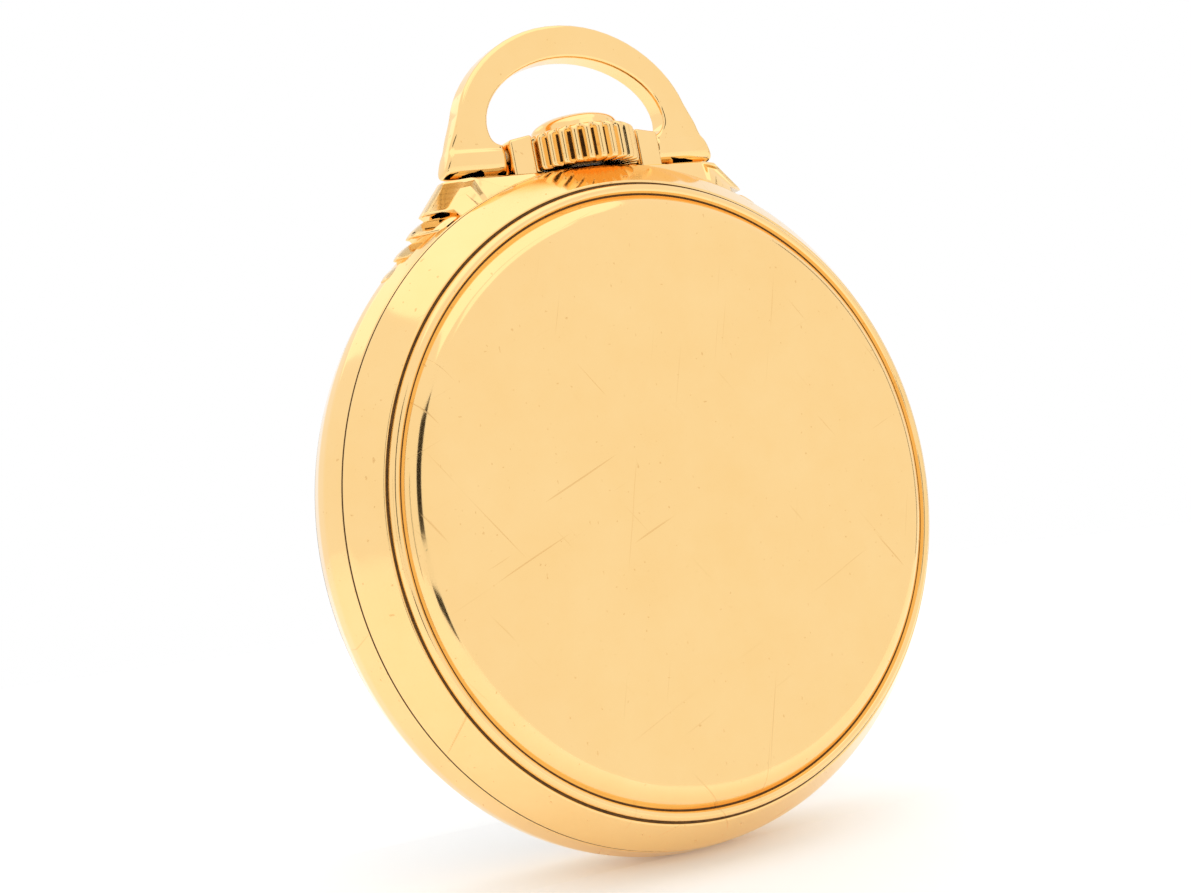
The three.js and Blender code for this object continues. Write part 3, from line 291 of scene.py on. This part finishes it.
ears = bmesh.new()
for side in (-1, 1):
    lug = bmesh.ops.create_cube(ears, size=1)["verts"]
    bmesh.ops.scale(ears, vec=(1.9, 2.8, 3.1), verts=lug)
    bmesh.ops.translate(ears, vec=(side * 5.45, 0, 25.95), verts=lug)
    for vert in lug:
        if vert.co.z > 26:
            vert.co.z += 0.18 if abs(vert.co.x) < 5 else -0.15
bmesh.ops.bevel(
    ears, geom=ears.edges[:], offset=0.22, affect="EDGES", segments=4, profile=0.5, material=-1
)
set_on_watch(ears)
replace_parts(finished("pendant_ears", ears, "case", gold), "case_band")

# ---- Back cover -------------------------------------------------------------------------------
# The screw back: a spun cup with a broad sloping rim, a fine bead and groove where the rim ends,
# and a flat, mirror-buffed plateau. Its inside thread runs on the neck of the middle.

back = turned([
    (0, 6, 0), (19.9, 6, 0), (21.1, 6, 0.75), (21.87, 5, 0.02),
    (21.95, 4.98, 0.02), (22.06, 5.3, 0.08), (22.35, 5.42, 0.14), (22.62, 5.22, 0.1),
    (22.73, 4.8, 0.02), (22.8, 4.77, 0.02), (22.96, 4.88, 0.12), (24.6, 2.85, 0.16),
    (24.92, 2.4, 0.14), (22.6, 2.4, 0), (22.6, 4.2, 0.1), (21.5, 4.75, 0.1), (21, 5.35, 0.1),
    (0, 5.35, 0),
])
bmesh.ops.transform(back, matrix=ON_WATCH_AXIS, verts=back.verts[:])
screw_back = finished("screw_back", back, "back", gold)
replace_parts(screw_back, "back_cover")

# Painted shade in the grooves: a dull brown over the gold for the shade in the seams and flutes,
# with some old polishing compound and skin grease, in flecks about a third of a millimetre long.
groove_shade_and_residue = bpy.data.materials.new("painted_groove_shade_and_residue")
groove_shade_and_residue.use_nodes = True
tree = groove_shade_and_residue.node_tree
shader = tree.nodes["Principled BSDF"]
shader.inputs["Metallic"].default_value = 0.5
shader.inputs["Roughness"].default_value = 0.5
place = add_node(tree, "ShaderNodeTexCoord", {}, {}).outputs["Object"]
flecks = add_node(tree, "ShaderNodeTexNoise", {"Scale": 2600, "Detail": 3}, {"Vector": place})
brown = add_node(
    tree, "ShaderNodeMix", {"data_type": "RGBA", 6: linear("#2e1d0c"), 7: linear("#7a5526")},
    {"Factor": flecks.outputs["Fac"]},
)
tree.links.new(brown.outputs[2], shader.inputs["Base Color"])


def fill_grooves(piece, rings):
    """Paints the brown groove shade, with residue, on a turning's faces whose middle lies in a
    ring: lowest and highest r and |y|.
    """
    piece.data.materials.append(groove_shade_and_residue)
    for polygon in piece.data.polygons:
        offset = polygon.center - WATCH_CENTRE
        radius, depth = math.hypot(offset.x, offset.z) / MM, abs(offset.y) / MM
        if any(r0 < radius < r1 and y0 < depth < y1 for r0, r1, y0, y1 in rings):
            polygon.material_index = 1


RIM_GROOVES = ((21.8, 22.02, 4.9, 5.05), (22.66, 22.86, 4.7, 4.86))
BAND_SEAM = (24.6, 24.93, 2.3, 2.47)
# The grooves of the rim and the seam between back and band get the painted brown shade.
fill_grooves(screw_back, RIM_GROOVES + (BAND_SEAM,))
fill_grooves(case_middle, ((24.6, 24.95, 2.26, 2.4),))

# ---- Bezel and crystal ------------------------------------------------------------------------
# The front ring screws on like the back and has the same slope and bead. A thin domed glass is
# snapped into a groove turned inside it.

bezel = turned([
    (21.55, -5.2, 0.06), (22.35, -5.42, 0.16), (22.62, -5.22, 0.1), (22.7, -4.8, 0.03),
    (22.82, -4.76, 0.03), (22.96, -4.88, 0.12), (24.6, -2.85, 0.16), (24.92, -2.4, 0.14),
    (22.6, -2.4, 0), (22.6, -3.75, 0), (20.9, -3.75, 0.1), (20.9, -4.35, 0.1),
    (21.55, -4.35, 0),
])
bmesh.ops.transform(bezel, matrix=ON_WATCH_AXIS, verts=bezel.verts[:])
screw_bezel = finished("screw_bezel", bezel, "front", gold)
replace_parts(screw_bezel, "bezel")
# Its groove and its seam with the band get the same painted brown shade.
fill_grooves(screw_bezel, RIM_GROOVES[1:] + (BAND_SEAM,))

# Mineral watch glass, ground and polished: clear and all but colourless, with the softest wipe
# marks.
glass = bpy.data.materials.new("polished_mineral_glass")
glass.use_nodes = True
tree = glass.node_tree
shader = tree.nodes["Principled BSDF"]
shader.inputs["Transmission Weight"].default_value = 1
shader.inputs["IOR"].default_value = 1.52
place = add_node(tree, "ShaderNodeTexCoord", {}, {}).outputs["Object"]
wipes = add_node(tree, "ShaderNodeTexNoise", {"Scale": 90, "Detail": 3}, {"Vector": place})
wiped = add_node(
    tree, "ShaderNodeMapRange",
    {"From Min": 0.3, "From Max": 0.75, "To Min": 0.0, "To Max": 0.03},
    {"Value": wipes.outputs["Fac"]},
)
tree.links.new(wiped.outputs["Result"], shader.inputs["Roughness"])
tint = add_node(
    tree, "ShaderNodeMix", {"data_type": "RGBA", 6: linear("#ffffff"), 7: linear("#fbfcfc")},
    {"Factor": wipes.outputs["Fac"]},
)
tree.links.new(tint.outputs[2], shader.inputs["Base Color"])
dome = [(21.4 * f / 10, (f / 10) ** 2 - 6, 0) for f in range(10)]
hollow = [(21.4 * f / 10, 0.8 * (f / 10) ** 2 - 5.2, 0) for f in range(10)]
crystal = turned(dome + [(21.4, -5.0, 0.1), (21.4, -4.45, 0.1)] + hollow[::-1])
bmesh.ops.transform(crystal, matrix=ON_WATCH_AXIS, verts=crystal.verts[:])
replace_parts(finished("watch_glass", crystal, "front", glass), "crystal")

# ---- Bow --------------------------------------------------------------------------------------
# The stirrup that the chain clips to: a flat gold forging with leaning arms, eased edges, and
# round feet. It hangs by two pins driven through the ears and swings over the crown.

BOW_HALF = 0.95
FOOT_AXIS = 26.4
BOW_ARC = (  # point, handle before it, handle after it; the right half, from the top round
    ((0, 35.9), (-5.2, 35.9), (5.2, 35.9)), ((9.8, 29.6), (8.9, 32.6), (10.3, 28.4)),
    ((11.5, 25.8), (10.9, 27.3), (11.75, 25.2)), ((11.1, 24.98), (11.6, 24.98), (9.6, 24.98)),
    ((6.55, 24.98), (8, 24.98), (6.55, 25.6)), ((6.55, 27.2), (6.55, 26.8), (7.32, 27.33)),
    ((7.6, 28.7), (7.67, 27.83), (7.4, 31.2)), ((0, 33.4), (3.9, 33.4), (-3.9, 33.4)),
)
left_half = [
    tuple((-x, z) for x, z in (point, after, before))
    for point, before, after in reversed(BOW_ARC[1:-1])
]
bow_curve = bpy.data.curves.new("bow_outline", "CURVE")
bow_curve.dimensions = "2D"
bow_curve.fill_mode = "NONE"
bow_curve.resolution_u = 14
spline = bow_curve.splines.new("BEZIER")
spline.bezier_points.add(len(BOW_ARC) + len(left_half) - 1)
spline.use_cyclic_u = True
for knot, (point, before, after) in zip(spline.bezier_points, list(BOW_ARC) + left_half):
    knot.handle_left_type = knot.handle_right_type = "FREE"
    knot.co = (*point, 0)
    knot.handle_left = (*before, 0)
    knot.handle_right = (*after, 0)
bow_outline = bpy.data.objects.new("bow_outline", bow_curve)
bow = bmesh.new()
bow.from_mesh(bow_outline.to_mesh())
bpy.data.objects.remove(bow_outline)
bmesh.ops.remove_doubles(bow, verts=bow.verts[:], dist=0.01)
face = bmesh.ops.edgeloop_fill(bow, edges=bow.edges[:])["faces"][0]
bmesh.ops.translate(bow, vec=(0, 0, -BOW_HALF), verts=bow.verts[:])
grown = bmesh.ops.extrude_face_region(bow, geom=[face])["geom"]
bmesh.ops.translate(
    bow, vec=(0, 0, 2 * BOW_HALF), verts=[v for v in grown if isinstance(v, bmesh.types.BMVert)]
)
bmesh.ops.recalc_face_normals(bow, faces=bow.faces[:])
rims = [e for e in bow.edges if abs(e.verts[0].co.z - e.verts[1].co.z) < 1e-5]
bmesh.ops.bevel(
    bow, geom=rims, offset=0.34, affect="EDGES", segments=5, profile=0.5, material=-1,
    clamp_overlap=False,
)
bmesh.ops.transform(bow, matrix=Matrix.Rotation(math.radians(90), 4, "X"), verts=bow.verts[:])
for height in (
    25.1, 25.3, 25.5, 25.7, 25.9, 26.1, 26.3, 26.5, 26.7, 26.9, 27.1, 27.25, 27.4, 27.6, 27.85,
    28.2,
):
    bmesh.ops.bisect_plane(
        bow, geom=bow.verts[:] + bow.edges[:] + bow.faces[:], dist=1e-5,
        plane_co=(0, 0, height), plane_no=(0, 0, 1),
    )
for vert in bow.verts:
    below = vert.co.z < FOOT_AXIS
    waist = math.sqrt(1 - ((min(vert.co.z, 27.0) - FOOT_AXIS) / (1.47 if below else 0.98)) ** 2)
    rise = min(max((vert.co.z - 27.1) / 1.1, 0), 1)
    vert.co.y *= waist + (1 - waist) * rise * rise * (3 - 2 * rise)
set_on_watch(bow)
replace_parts(finished("stirrup_bow", bow, "bow", gold), "bow")

# ---- Crown ------------------------------------------------------------------------------------
# The winding button: a gold cap turned with a low dome, its edge milled with broad flutes for the
# thumb, pressed over a steel core on the stem.

CROWN_R = 4.4
FLUTES = 28
FLUTED_FROM = 3.6  # the radius outside which the cap is fluted, in mm
crown = turned([
    (0, 29.0, 0), (1.3, 28.95, 0.2), (2.45, 28.82, 0.3), (3.2, 28.4, 0.3), (3.3, 27.72, 0.06),
    (4.0, 27.7, 0.1), (CROWN_R, 27.45, 0.2), (CROWN_R, 27.1, 0), (CROWN_R, 26.6, 0),
    (CROWN_R, 26.1, 0), (CROWN_R, 25.6, 0), (CROWN_R, 25.25, 0), (4.3, 24.97, 0.1),
    (2.5, 24.97, 0), (2.5, 26.8, 0),
    (0.8, 26.8, 0), (0.8, 27.7, 0), (0, 27.7, 0),
], steps=FLUTES * 10)
for vert in crown.verts:
    radius = math.hypot(vert.co.x, vert.co.y) / MM
    height = vert.co.z / MM
    if radius > FLUTED_FROM:
        turn = math.atan2(vert.co.y, vert.co.x)
        valley = (0.5 + 0.5 * math.cos(FLUTES * turn)) ** 2.0
        fade = min(max((27.62 - height) / 0.45, 0), 1)
        depth = 0.55 * valley * fade ** 0.6
        vert.co.x *= (radius - depth) / radius
        vert.co.y *= (radius - depth) / radius
bmesh.ops.translate(crown, vec=WATCH_CENTRE, verts=crown.verts[:])
fluted_crown = finished("fluted_crown", crown, "crown", gold)
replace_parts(fluted_crown, "crown")
# The same painted brown shade, with residue, lies along the bottoms of the flutes.
fluted_crown.data.materials.append(groove_shade_and_residue)
for polygon in fluted_crown.data.polygons:
    offset = (polygon.center - WATCH_CENTRE) / MM
    in_valley = math.cos(FLUTES * math.atan2(offset.y, offset.x)) > 0.8
    if in_valley and math.hypot(offset.x, offset.y) > FLUTED_FROM and 25.3 < offset.z < 27.2:
        polygon.material_index = 1

# ---- Dial -------------------------------------------------------------------------------------
# A disc of copper fired with white vitreous enamel, with hour figures, a minute track and a small
# seconds ring at six. The figures are fired in black over the white.

# Fired enamel: glassy and slightly warm, with an orange-peel ripple about 2 mm long and the
# faintest clouding from the kiln.
enamel = bpy.data.materials.new("fired_white_enamel")
enamel.use_nodes = True
tree = enamel.node_tree
shader = tree.nodes["Principled BSDF"]
shader.inputs["Roughness"].default_value = 0.16
shader.inputs["Coat Weight"].default_value = 0.4
place = add_node(tree, "ShaderNodeTexCoord", {}, {}).outputs["Object"]
cloud = add_node(tree, "ShaderNodeTexNoise", {"Scale": 140, "Detail": 4}, {"Vector": place})
white = add_node(
    tree, "ShaderNodeMix", {"data_type": "RGBA", 6: linear("#fffdf6"), 7: linear("#f6f1e6")},
    {"Factor": cloud.outputs["Fac"]},
)
tree.links.new(white.outputs[2], shader.inputs["Base Color"])
peel = add_node(tree, "ShaderNodeTexNoise", {"Scale": 500, "Detail": 1}, {"Vector": place})
peel_bump = add_node(
    tree, "ShaderNodeBump", {"Strength": 0.6, "Distance": 0.000006},
    {"Height": peel.outputs["Fac"]},
)
tree.links.new(peel_bump.outputs["Normal"], shader.inputs["Normal"])


def refinish(names, material):
    """Gives its real finish to each CAD node that is shown as it is."""
    for name in names:
        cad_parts[name].data.materials.clear()
        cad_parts[name].data.materials.append(material)


refinish(["dial"], enamel)

# Black enamel paint for the figures: deep, with a soft gloss and slightly uneven edges of tone.
print_black = bpy.data.materials.new("fired_black_enamel")
print_black.use_nodes = True
tree = print_black.node_tree
shader = tree.nodes["Principled BSDF"]
place = add_node(tree, "ShaderNodeTexCoord", {}, {}).outputs["Object"]
uneven = add_node(tree, "ShaderNodeTexNoise", {"Scale": 900, "Detail": 2}, {"Vector": place})
black = add_node(
    tree, "ShaderNodeMix", {"data_type": "RGBA", 6: linear("#0d0d10"), 7: linear("#1c1b1f")},
    {"Factor": uneven.outputs["Fac"]},
)
tree.links.new(black.outputs[2], shader.inputs["Base Color"])
gloss = add_node(
    tree, "ShaderNodeMapRange", {"To Min": 0.2, "To Max": 0.34}, {"Value": uneven.outputs["Fac"]}
)
tree.links.new(gloss.outputs["Result"], shader.inputs["Roughness"])

dial_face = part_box("dial")[0].y  # the front of the dial
PRINT = 0.02  # thickness of the fired figures, in mm
SECONDS_CENTRE = WATCH_CENTRE + Vector((0, 0, -10.5 * MM))
figures = bmesh.new()


def printed(mesh_data, matrix):
    """Adds one printed mark to the figures, at its place on the dial."""
    mark = bmesh.new()
    mark.from_mesh(mesh_data)
    bmesh.ops.transform(mark, matrix=matrix, verts=mark.verts[:])
    placed = bpy.data.meshes.new("mark")
    mark.to_mesh(placed)
    mark.free()
    figures.from_mesh(placed)
    bpy.data.meshes.remove(placed)


FACING_FRONT = Matrix.Rotation(math.radians(90), 4, "X")
for hour in (12, 1, 2, 3, 4, 5, 7, 8, 9, 10, 11):
    text = bpy.data.curves.new("figure", "FONT")
    text.body = str(hour)
    text.size = 4.6 * MM
    text.extrude = PRINT / 2 * MM
    text.resolution_u = 5
    text.align_x = "CENTER"
    text.align_y = "CENTER"
    text.space_character = 0.9
    holder = bpy.data.objects.new("figure", text)
    turn = math.radians(30 * hour)
    spot = WATCH_CENTRE + Vector((math.sin(turn), 0, math.cos(turn))) * 15.6 * MM
    spot.y = dial_face - PRINT / 2 * MM
    printed(holder.to_mesh(), Matrix.Translation(spot) @ FACING_FRONT)
    bpy.data.objects.remove(holder)

stroke = bmesh.new()
bmesh.ops.create_cube(stroke, size=1)
stroke_mesh = bpy.data.meshes.new("stroke")
stroke.to_mesh(stroke_mesh)
stroke.free()
for centre, radius, long, short, wide in (
    (WATCH_CENTRE, 19.45, 1.5, 0.9, 0.14), (SECONDS_CENTRE, 3.65, 0.8, 0.45, 0.07),
):
    for minute in range(60):
        length = long if minute % 5 == 0 else short
        width = wide * (2.2 if minute % 5 == 0 else 1)
        turn = Matrix.Rotation(math.radians(6 * minute), 4, "Y")
        reach = turn @ Vector((0, 0, (radius - length / 2) * MM))
        spot = centre + reach
        spot.y = dial_face - PRINT / 2 * MM
        size = Matrix.Diagonal((width * MM, PRINT * MM, length * MM, 1))
        printed(stroke_mesh, Matrix.Translation(spot) @ turn @ size)
for centre, radius, width in (
    (WATCH_CENTRE, 19.45, 0.1), (WATCH_CENTRE, 18.5, 0.07), (SECONDS_CENTRE, 3.72, 0.07),
    (SECONDS_CENTRE, 3.2, 0.05),
):
    hoop = turned([
        (radius, 0, 0), (radius + width, 0, 0), (radius + width, PRINT, 0), (radius, PRINT, 0),
    ], steps=120)
    hoop_mesh = bpy.data.meshes.new("hoop")
    hoop.to_mesh(hoop_mesh)
    hoop.free()
    spot = centre.copy()
    spot.y = dial_face - PRINT * MM
    printed(hoop_mesh, Matrix.Translation(spot) @ Matrix.Rotation(math.radians(-90), 4, "X"))
bmesh.ops.remove_doubles(figures, verts=figures.verts[:], dist=1e-7)
bmesh.ops.recalc_face_normals(figures, faces=figures.faces[:])
finished("dial_figures", figures, "case", print_black)

# ---- Hands ------------------------------------------------------------------------------------
# Hour, minute and seconds hands stamped from thin steel, polished, and heated to a deep blue. The
# bosses are pressed on their pipes.

# Heat-blued steel: the oxide film is a fraction of a micrometre thick, so the blue drifts slightly
# towards violet over a few millimetres.
blued = bpy.data.materials.new("heat_blued_steel")
blued.use_nodes = True
tree = blued.node_tree
shader = tree.nodes["Principled BSDF"]
shader.inputs["Metallic"].default_value = 1
place = add_node(tree, "ShaderNodeTexCoord", {}, {}).outputs["Object"]
drift = add_node(tree, "ShaderNodeTexNoise", {"Scale": 200, "Detail": 2}, {"Vector": place})
blue = add_node(
    tree, "ShaderNodeMix", {"data_type": "RGBA", 6: linear("#1f3f96"), 7: linear("#2f2f86")},
    {"Factor": drift.outputs["Fac"]},
)
tree.links.new(blue.outputs[2], shader.inputs["Base Color"])
brush = add_node(
    tree, "ShaderNodeMapRange", {"To Min": 0.14, "To Max": 0.28}, {"Value": drift.outputs["Fac"]}
)
tree.links.new(brush.outputs["Result"], shader.inputs["Roughness"])
refinish(["hour_hand", "minute_hand", "seconds_hand"], blued)

# ---- Plates and bridges -----------------------------------------------------------------------
# The main plate, the barrel and train bridges and the cocks: nickel castings, planed flat, finished
# with rose-engine stripes and screwed together. The wheels, steelwork, springs, screws and jewels
# that they carry are shown in the plain colours that come with the CAD.

# Nickel with straight damascened stripes 1.6 mm wide, each cut by fine arcs that catch the light
# by turns.
nickel = bpy.data.materials.new("striped_nickel")
nickel.use_nodes = True
tree = nickel.node_tree
shader = tree.nodes["Principled BSDF"]
shader.inputs["Metallic"].default_value = 1
place = add_node(tree, "ShaderNodeTexCoord", {}, {}).outputs["Object"]
slant = add_node(
    tree, "ShaderNodeMapping", {"Rotation": (0, math.radians(35), 0)}, {"Vector": place}
)
stripes = add_node(
    tree, "ShaderNodeTexWave", {"Scale": 98, "Distortion": 0.3, "Detail": 1},
    {"Vector": slant.outputs["Vector"]},
)
arcs = add_node(
    tree, "ShaderNodeTexWave", {"Scale": 1250, "Distortion": 1.5, "bands_direction": "Z"},
    {"Vector": slant.outputs["Vector"]},
)
silver = add_node(
    tree, "ShaderNodeMix", {"data_type": "RGBA", 6: linear("#cfcdc6"), 7: linear("#b3b1aa")},
    {"Factor": stripes.outputs["Fac"]},
)
tree.links.new(silver.outputs[2], shader.inputs["Base Color"])
sheen = add_node(
    tree, "ShaderNodeMapRange", {"To Min": 0.2, "To Max": 0.38}, {"Value": stripes.outputs["Fac"]}
)
tree.links.new(sheen.outputs["Result"], shader.inputs["Roughness"])
arc_bump = add_node(
    tree, "ShaderNodeBump", {"Strength": 0.4, "Distance": 0.00001}, {"Height": arcs.outputs["Fac"]}
)
tree.links.new(arc_bump.outputs["Normal"], shader.inputs["Normal"])
refinish(["main_plate", "barrel_bridge", "train_bridge", "balance_cock", "pallet_bridge"], nickel)

# ---- Floor ------------------------------------------------------------------------------------
# A plain white sweep that the watch stands on. The watch leans back a little, so the floor meets
# it at a slant behind and runs level in front.

# Matt white card, with a fine tooth.
card = bpy.data.materials.new("matt_white_card")
card.use_nodes = True
tree = card.node_tree
shader = tree.nodes["Principled BSDF"]
shader.inputs["Roughness"].default_value = 0.8
shader.inputs["Specular IOR Level"].default_value = 0.1
shader.inputs["Emission Color"].default_value = (1, 1, 1, 1)
shader.inputs["Emission Strength"].default_value = 0.1
place = add_node(tree, "ShaderNodeTexCoord", {}, {}).outputs["Object"]
tooth = add_node(tree, "ShaderNodeTexNoise", {"Scale": 900, "Detail": 2}, {"Vector": place})
paper = add_node(
    tree, "ShaderNodeMix", {"data_type": "RGBA", 6: linear("#ffffff"), 7: linear("#fbfbfa")},
    {"Factor": tooth.outputs["Fac"]},
)
tree.links.new(paper.outputs[2], shader.inputs["Base Color"])
lean = Vector((-0.066, 0.24, 0.97)).normalized()  # the true upright, seen from the watch
rim_point = Vector((0, -2.4 * MM, cad_box[0][2] + 0.45 * MM))
floor = bmesh.new()
bmesh.ops.create_grid(floor, x_segments=2, y_segments=80, size=0.8)
for vert in floor.verts:
    across = max(vert.co.y, -8 * MM) - rim_point.y
    vert.co.z = rim_point.z - (lean.x * vert.co.x + lean.y * across) / lean.z
bmesh.ops.recalc_face_normals(floor, faces=floor.faces[:])
floor_mesh = bpy.data.meshes.new("floor")
floor.to_mesh(floor_mesh)
floor.free()
floor_mesh.materials.append(card)
floor_sheet = bpy.data.objects.new("floor", floor_mesh)
bpy.context.scene.collection.objects.link(floor_sheet)

# ---- Light ------------------------------------------------------------------------------------
# A white tent lit evenly all round, with a brighter softbox overhead and two on the shoulders,
# and the dark gap where the camera looks in.

world = bpy.data.worlds.new("white_tent")
bpy.context.scene.world = world
world.use_nodes = True
world.node_tree.nodes["Background"].inputs["Color"].default_value = (1, 1, 1, 1)
bpy.context.scene.view_settings.view_transform = "Standard"


def towards(azimuth, elevation):
    """The direction from the watch at an azimuth, with 0 in front of the dial, and an elevation."""
    az, el = math.radians(azimuth), math.radians(elevation)
    return Vector((math.sin(az) * math.cos(el), -math.cos(az) * math.cos(el), math.sin(el)))


for azimuth, elevation, distance, width, depth, glow in (
    (180, 80, 300, 340, 340, 0.32), (190, 42, 320, 170, 70, 0.3), (20, 42, 320, 160, 90, 0.3),
):
    softbox = bpy.data.lights.new("softbox", "AREA")
    softbox.shape = "RECTANGLE"
    softbox.size = width * MM
    softbox.size_y = depth * MM
    softbox.energy = glow * math.pi * width * depth * MM * MM
    holder = bpy.data.objects.new("softbox", softbox)
    bpy.context.scene.collection.objects.link(holder)
    away = towards(azimuth, elevation)
    holder.location = WATCH_CENTRE + away * distance * MM
    holder.rotation_euler = away.to_track_quat("Z", "Y").to_euler()

FLAG_DISTANCE = 300
for name, azimuth, elevation, width, height, shade in (
    ("camera_gap", 153, 14, 96, 140, 0.04), ("tripod", 153, -15, 110, 70, 0.0),
    ("tent_seam", 259, 2, 24, 320, 0.1), ("tent_fold", 115, 0, 14, 190, 0.35),
    ("tent_corner", 302, -48, 150, 90, 0.55), ("tent_side", 100, -30, 200, 60, 0.75),
):
    flag = bpy.data.materials.new(name)
    flag.use_nodes = True
    shader = flag.node_tree.nodes["Principled BSDF"]
    shader.inputs["Base Color"].default_value = (0, 0, 0, 1)
    shader.inputs["Roughness"].default_value = 1
    shader.inputs["Specular IOR Level"].default_value = 0
    shader.inputs["Emission Color"].default_value = (1, 0.93, 0.82, 1)
    shader.inputs["Emission Strength"].default_value = shade
    panel = bmesh.new()
    bmesh.ops.create_grid(panel, x_segments=1, y_segments=1, size=0.5)
    away = towards(azimuth, elevation)
    bmesh.ops.scale(panel, vec=(width * MM, height * MM, 1), verts=panel.verts[:])
    facing_watch = away.to_track_quat("Z", "Y").to_matrix().to_4x4()
    stand = Matrix.Translation(WATCH_CENTRE + away * FLAG_DISTANCE * MM) @ facing_watch
    bmesh.ops.transform(panel, matrix=stand, verts=panel.verts[:])
    panel_mesh = bpy.data.meshes.new(name)
    panel.to_mesh(panel_mesh)
    panel.free()
    panel_mesh.materials.append(flag)
    hung = bpy.data.objects.new(name, panel_mesh)
    bpy.context.scene.collection.objects.link(hung)
    hung.visible_camera = False
    hung.visible_diffuse = False
    hung.visible_shadow = False

# ---- Camera -----------------------------------------------------------------------------------
# A short telephoto close behind the watch, a little below its middle and rolled to the left.

CAMERA_DISTANCE = 120
target = WATCH_CENTRE + Vector((6.41, 5.1, 4.59)) * MM
away = towards(148.46, -1.66)
right = (-away).cross(Vector((0, 0, 1))).normalized()
up = right.cross(-away)
roll = math.radians(-11.6)
rolled_right = math.cos(roll) * right + math.sin(roll) * up
rolled_up = math.cos(roll) * up - math.sin(roll) * right
camera = bpy.data.objects.new("camera", bpy.data.cameras.new("camera"))
bpy.context.scene.collection.objects.link(camera)
facing = Matrix((rolled_right, rolled_up, away)).transposed().to_4x4()
facing.translation = target + away * CAMERA_DISTANCE * MM
# The camera is turned a trace about the watch's own front-to-back axis, as the watch stands a
# trace off upright.
trace = Matrix.Rotation(math.radians(0.78), 4, "Y")
about_centre = Matrix.Translation(WATCH_CENTRE) @ trace @ Matrix.Translation(-WATCH_CENTRE)
camera.matrix_world = about_centre @ facing
camera.data.sensor_width = 36
camera.data.lens = 1734 / 1191 * 36
camera.data.clip_start = 1 * MM
bpy.context.scene.camera = camera
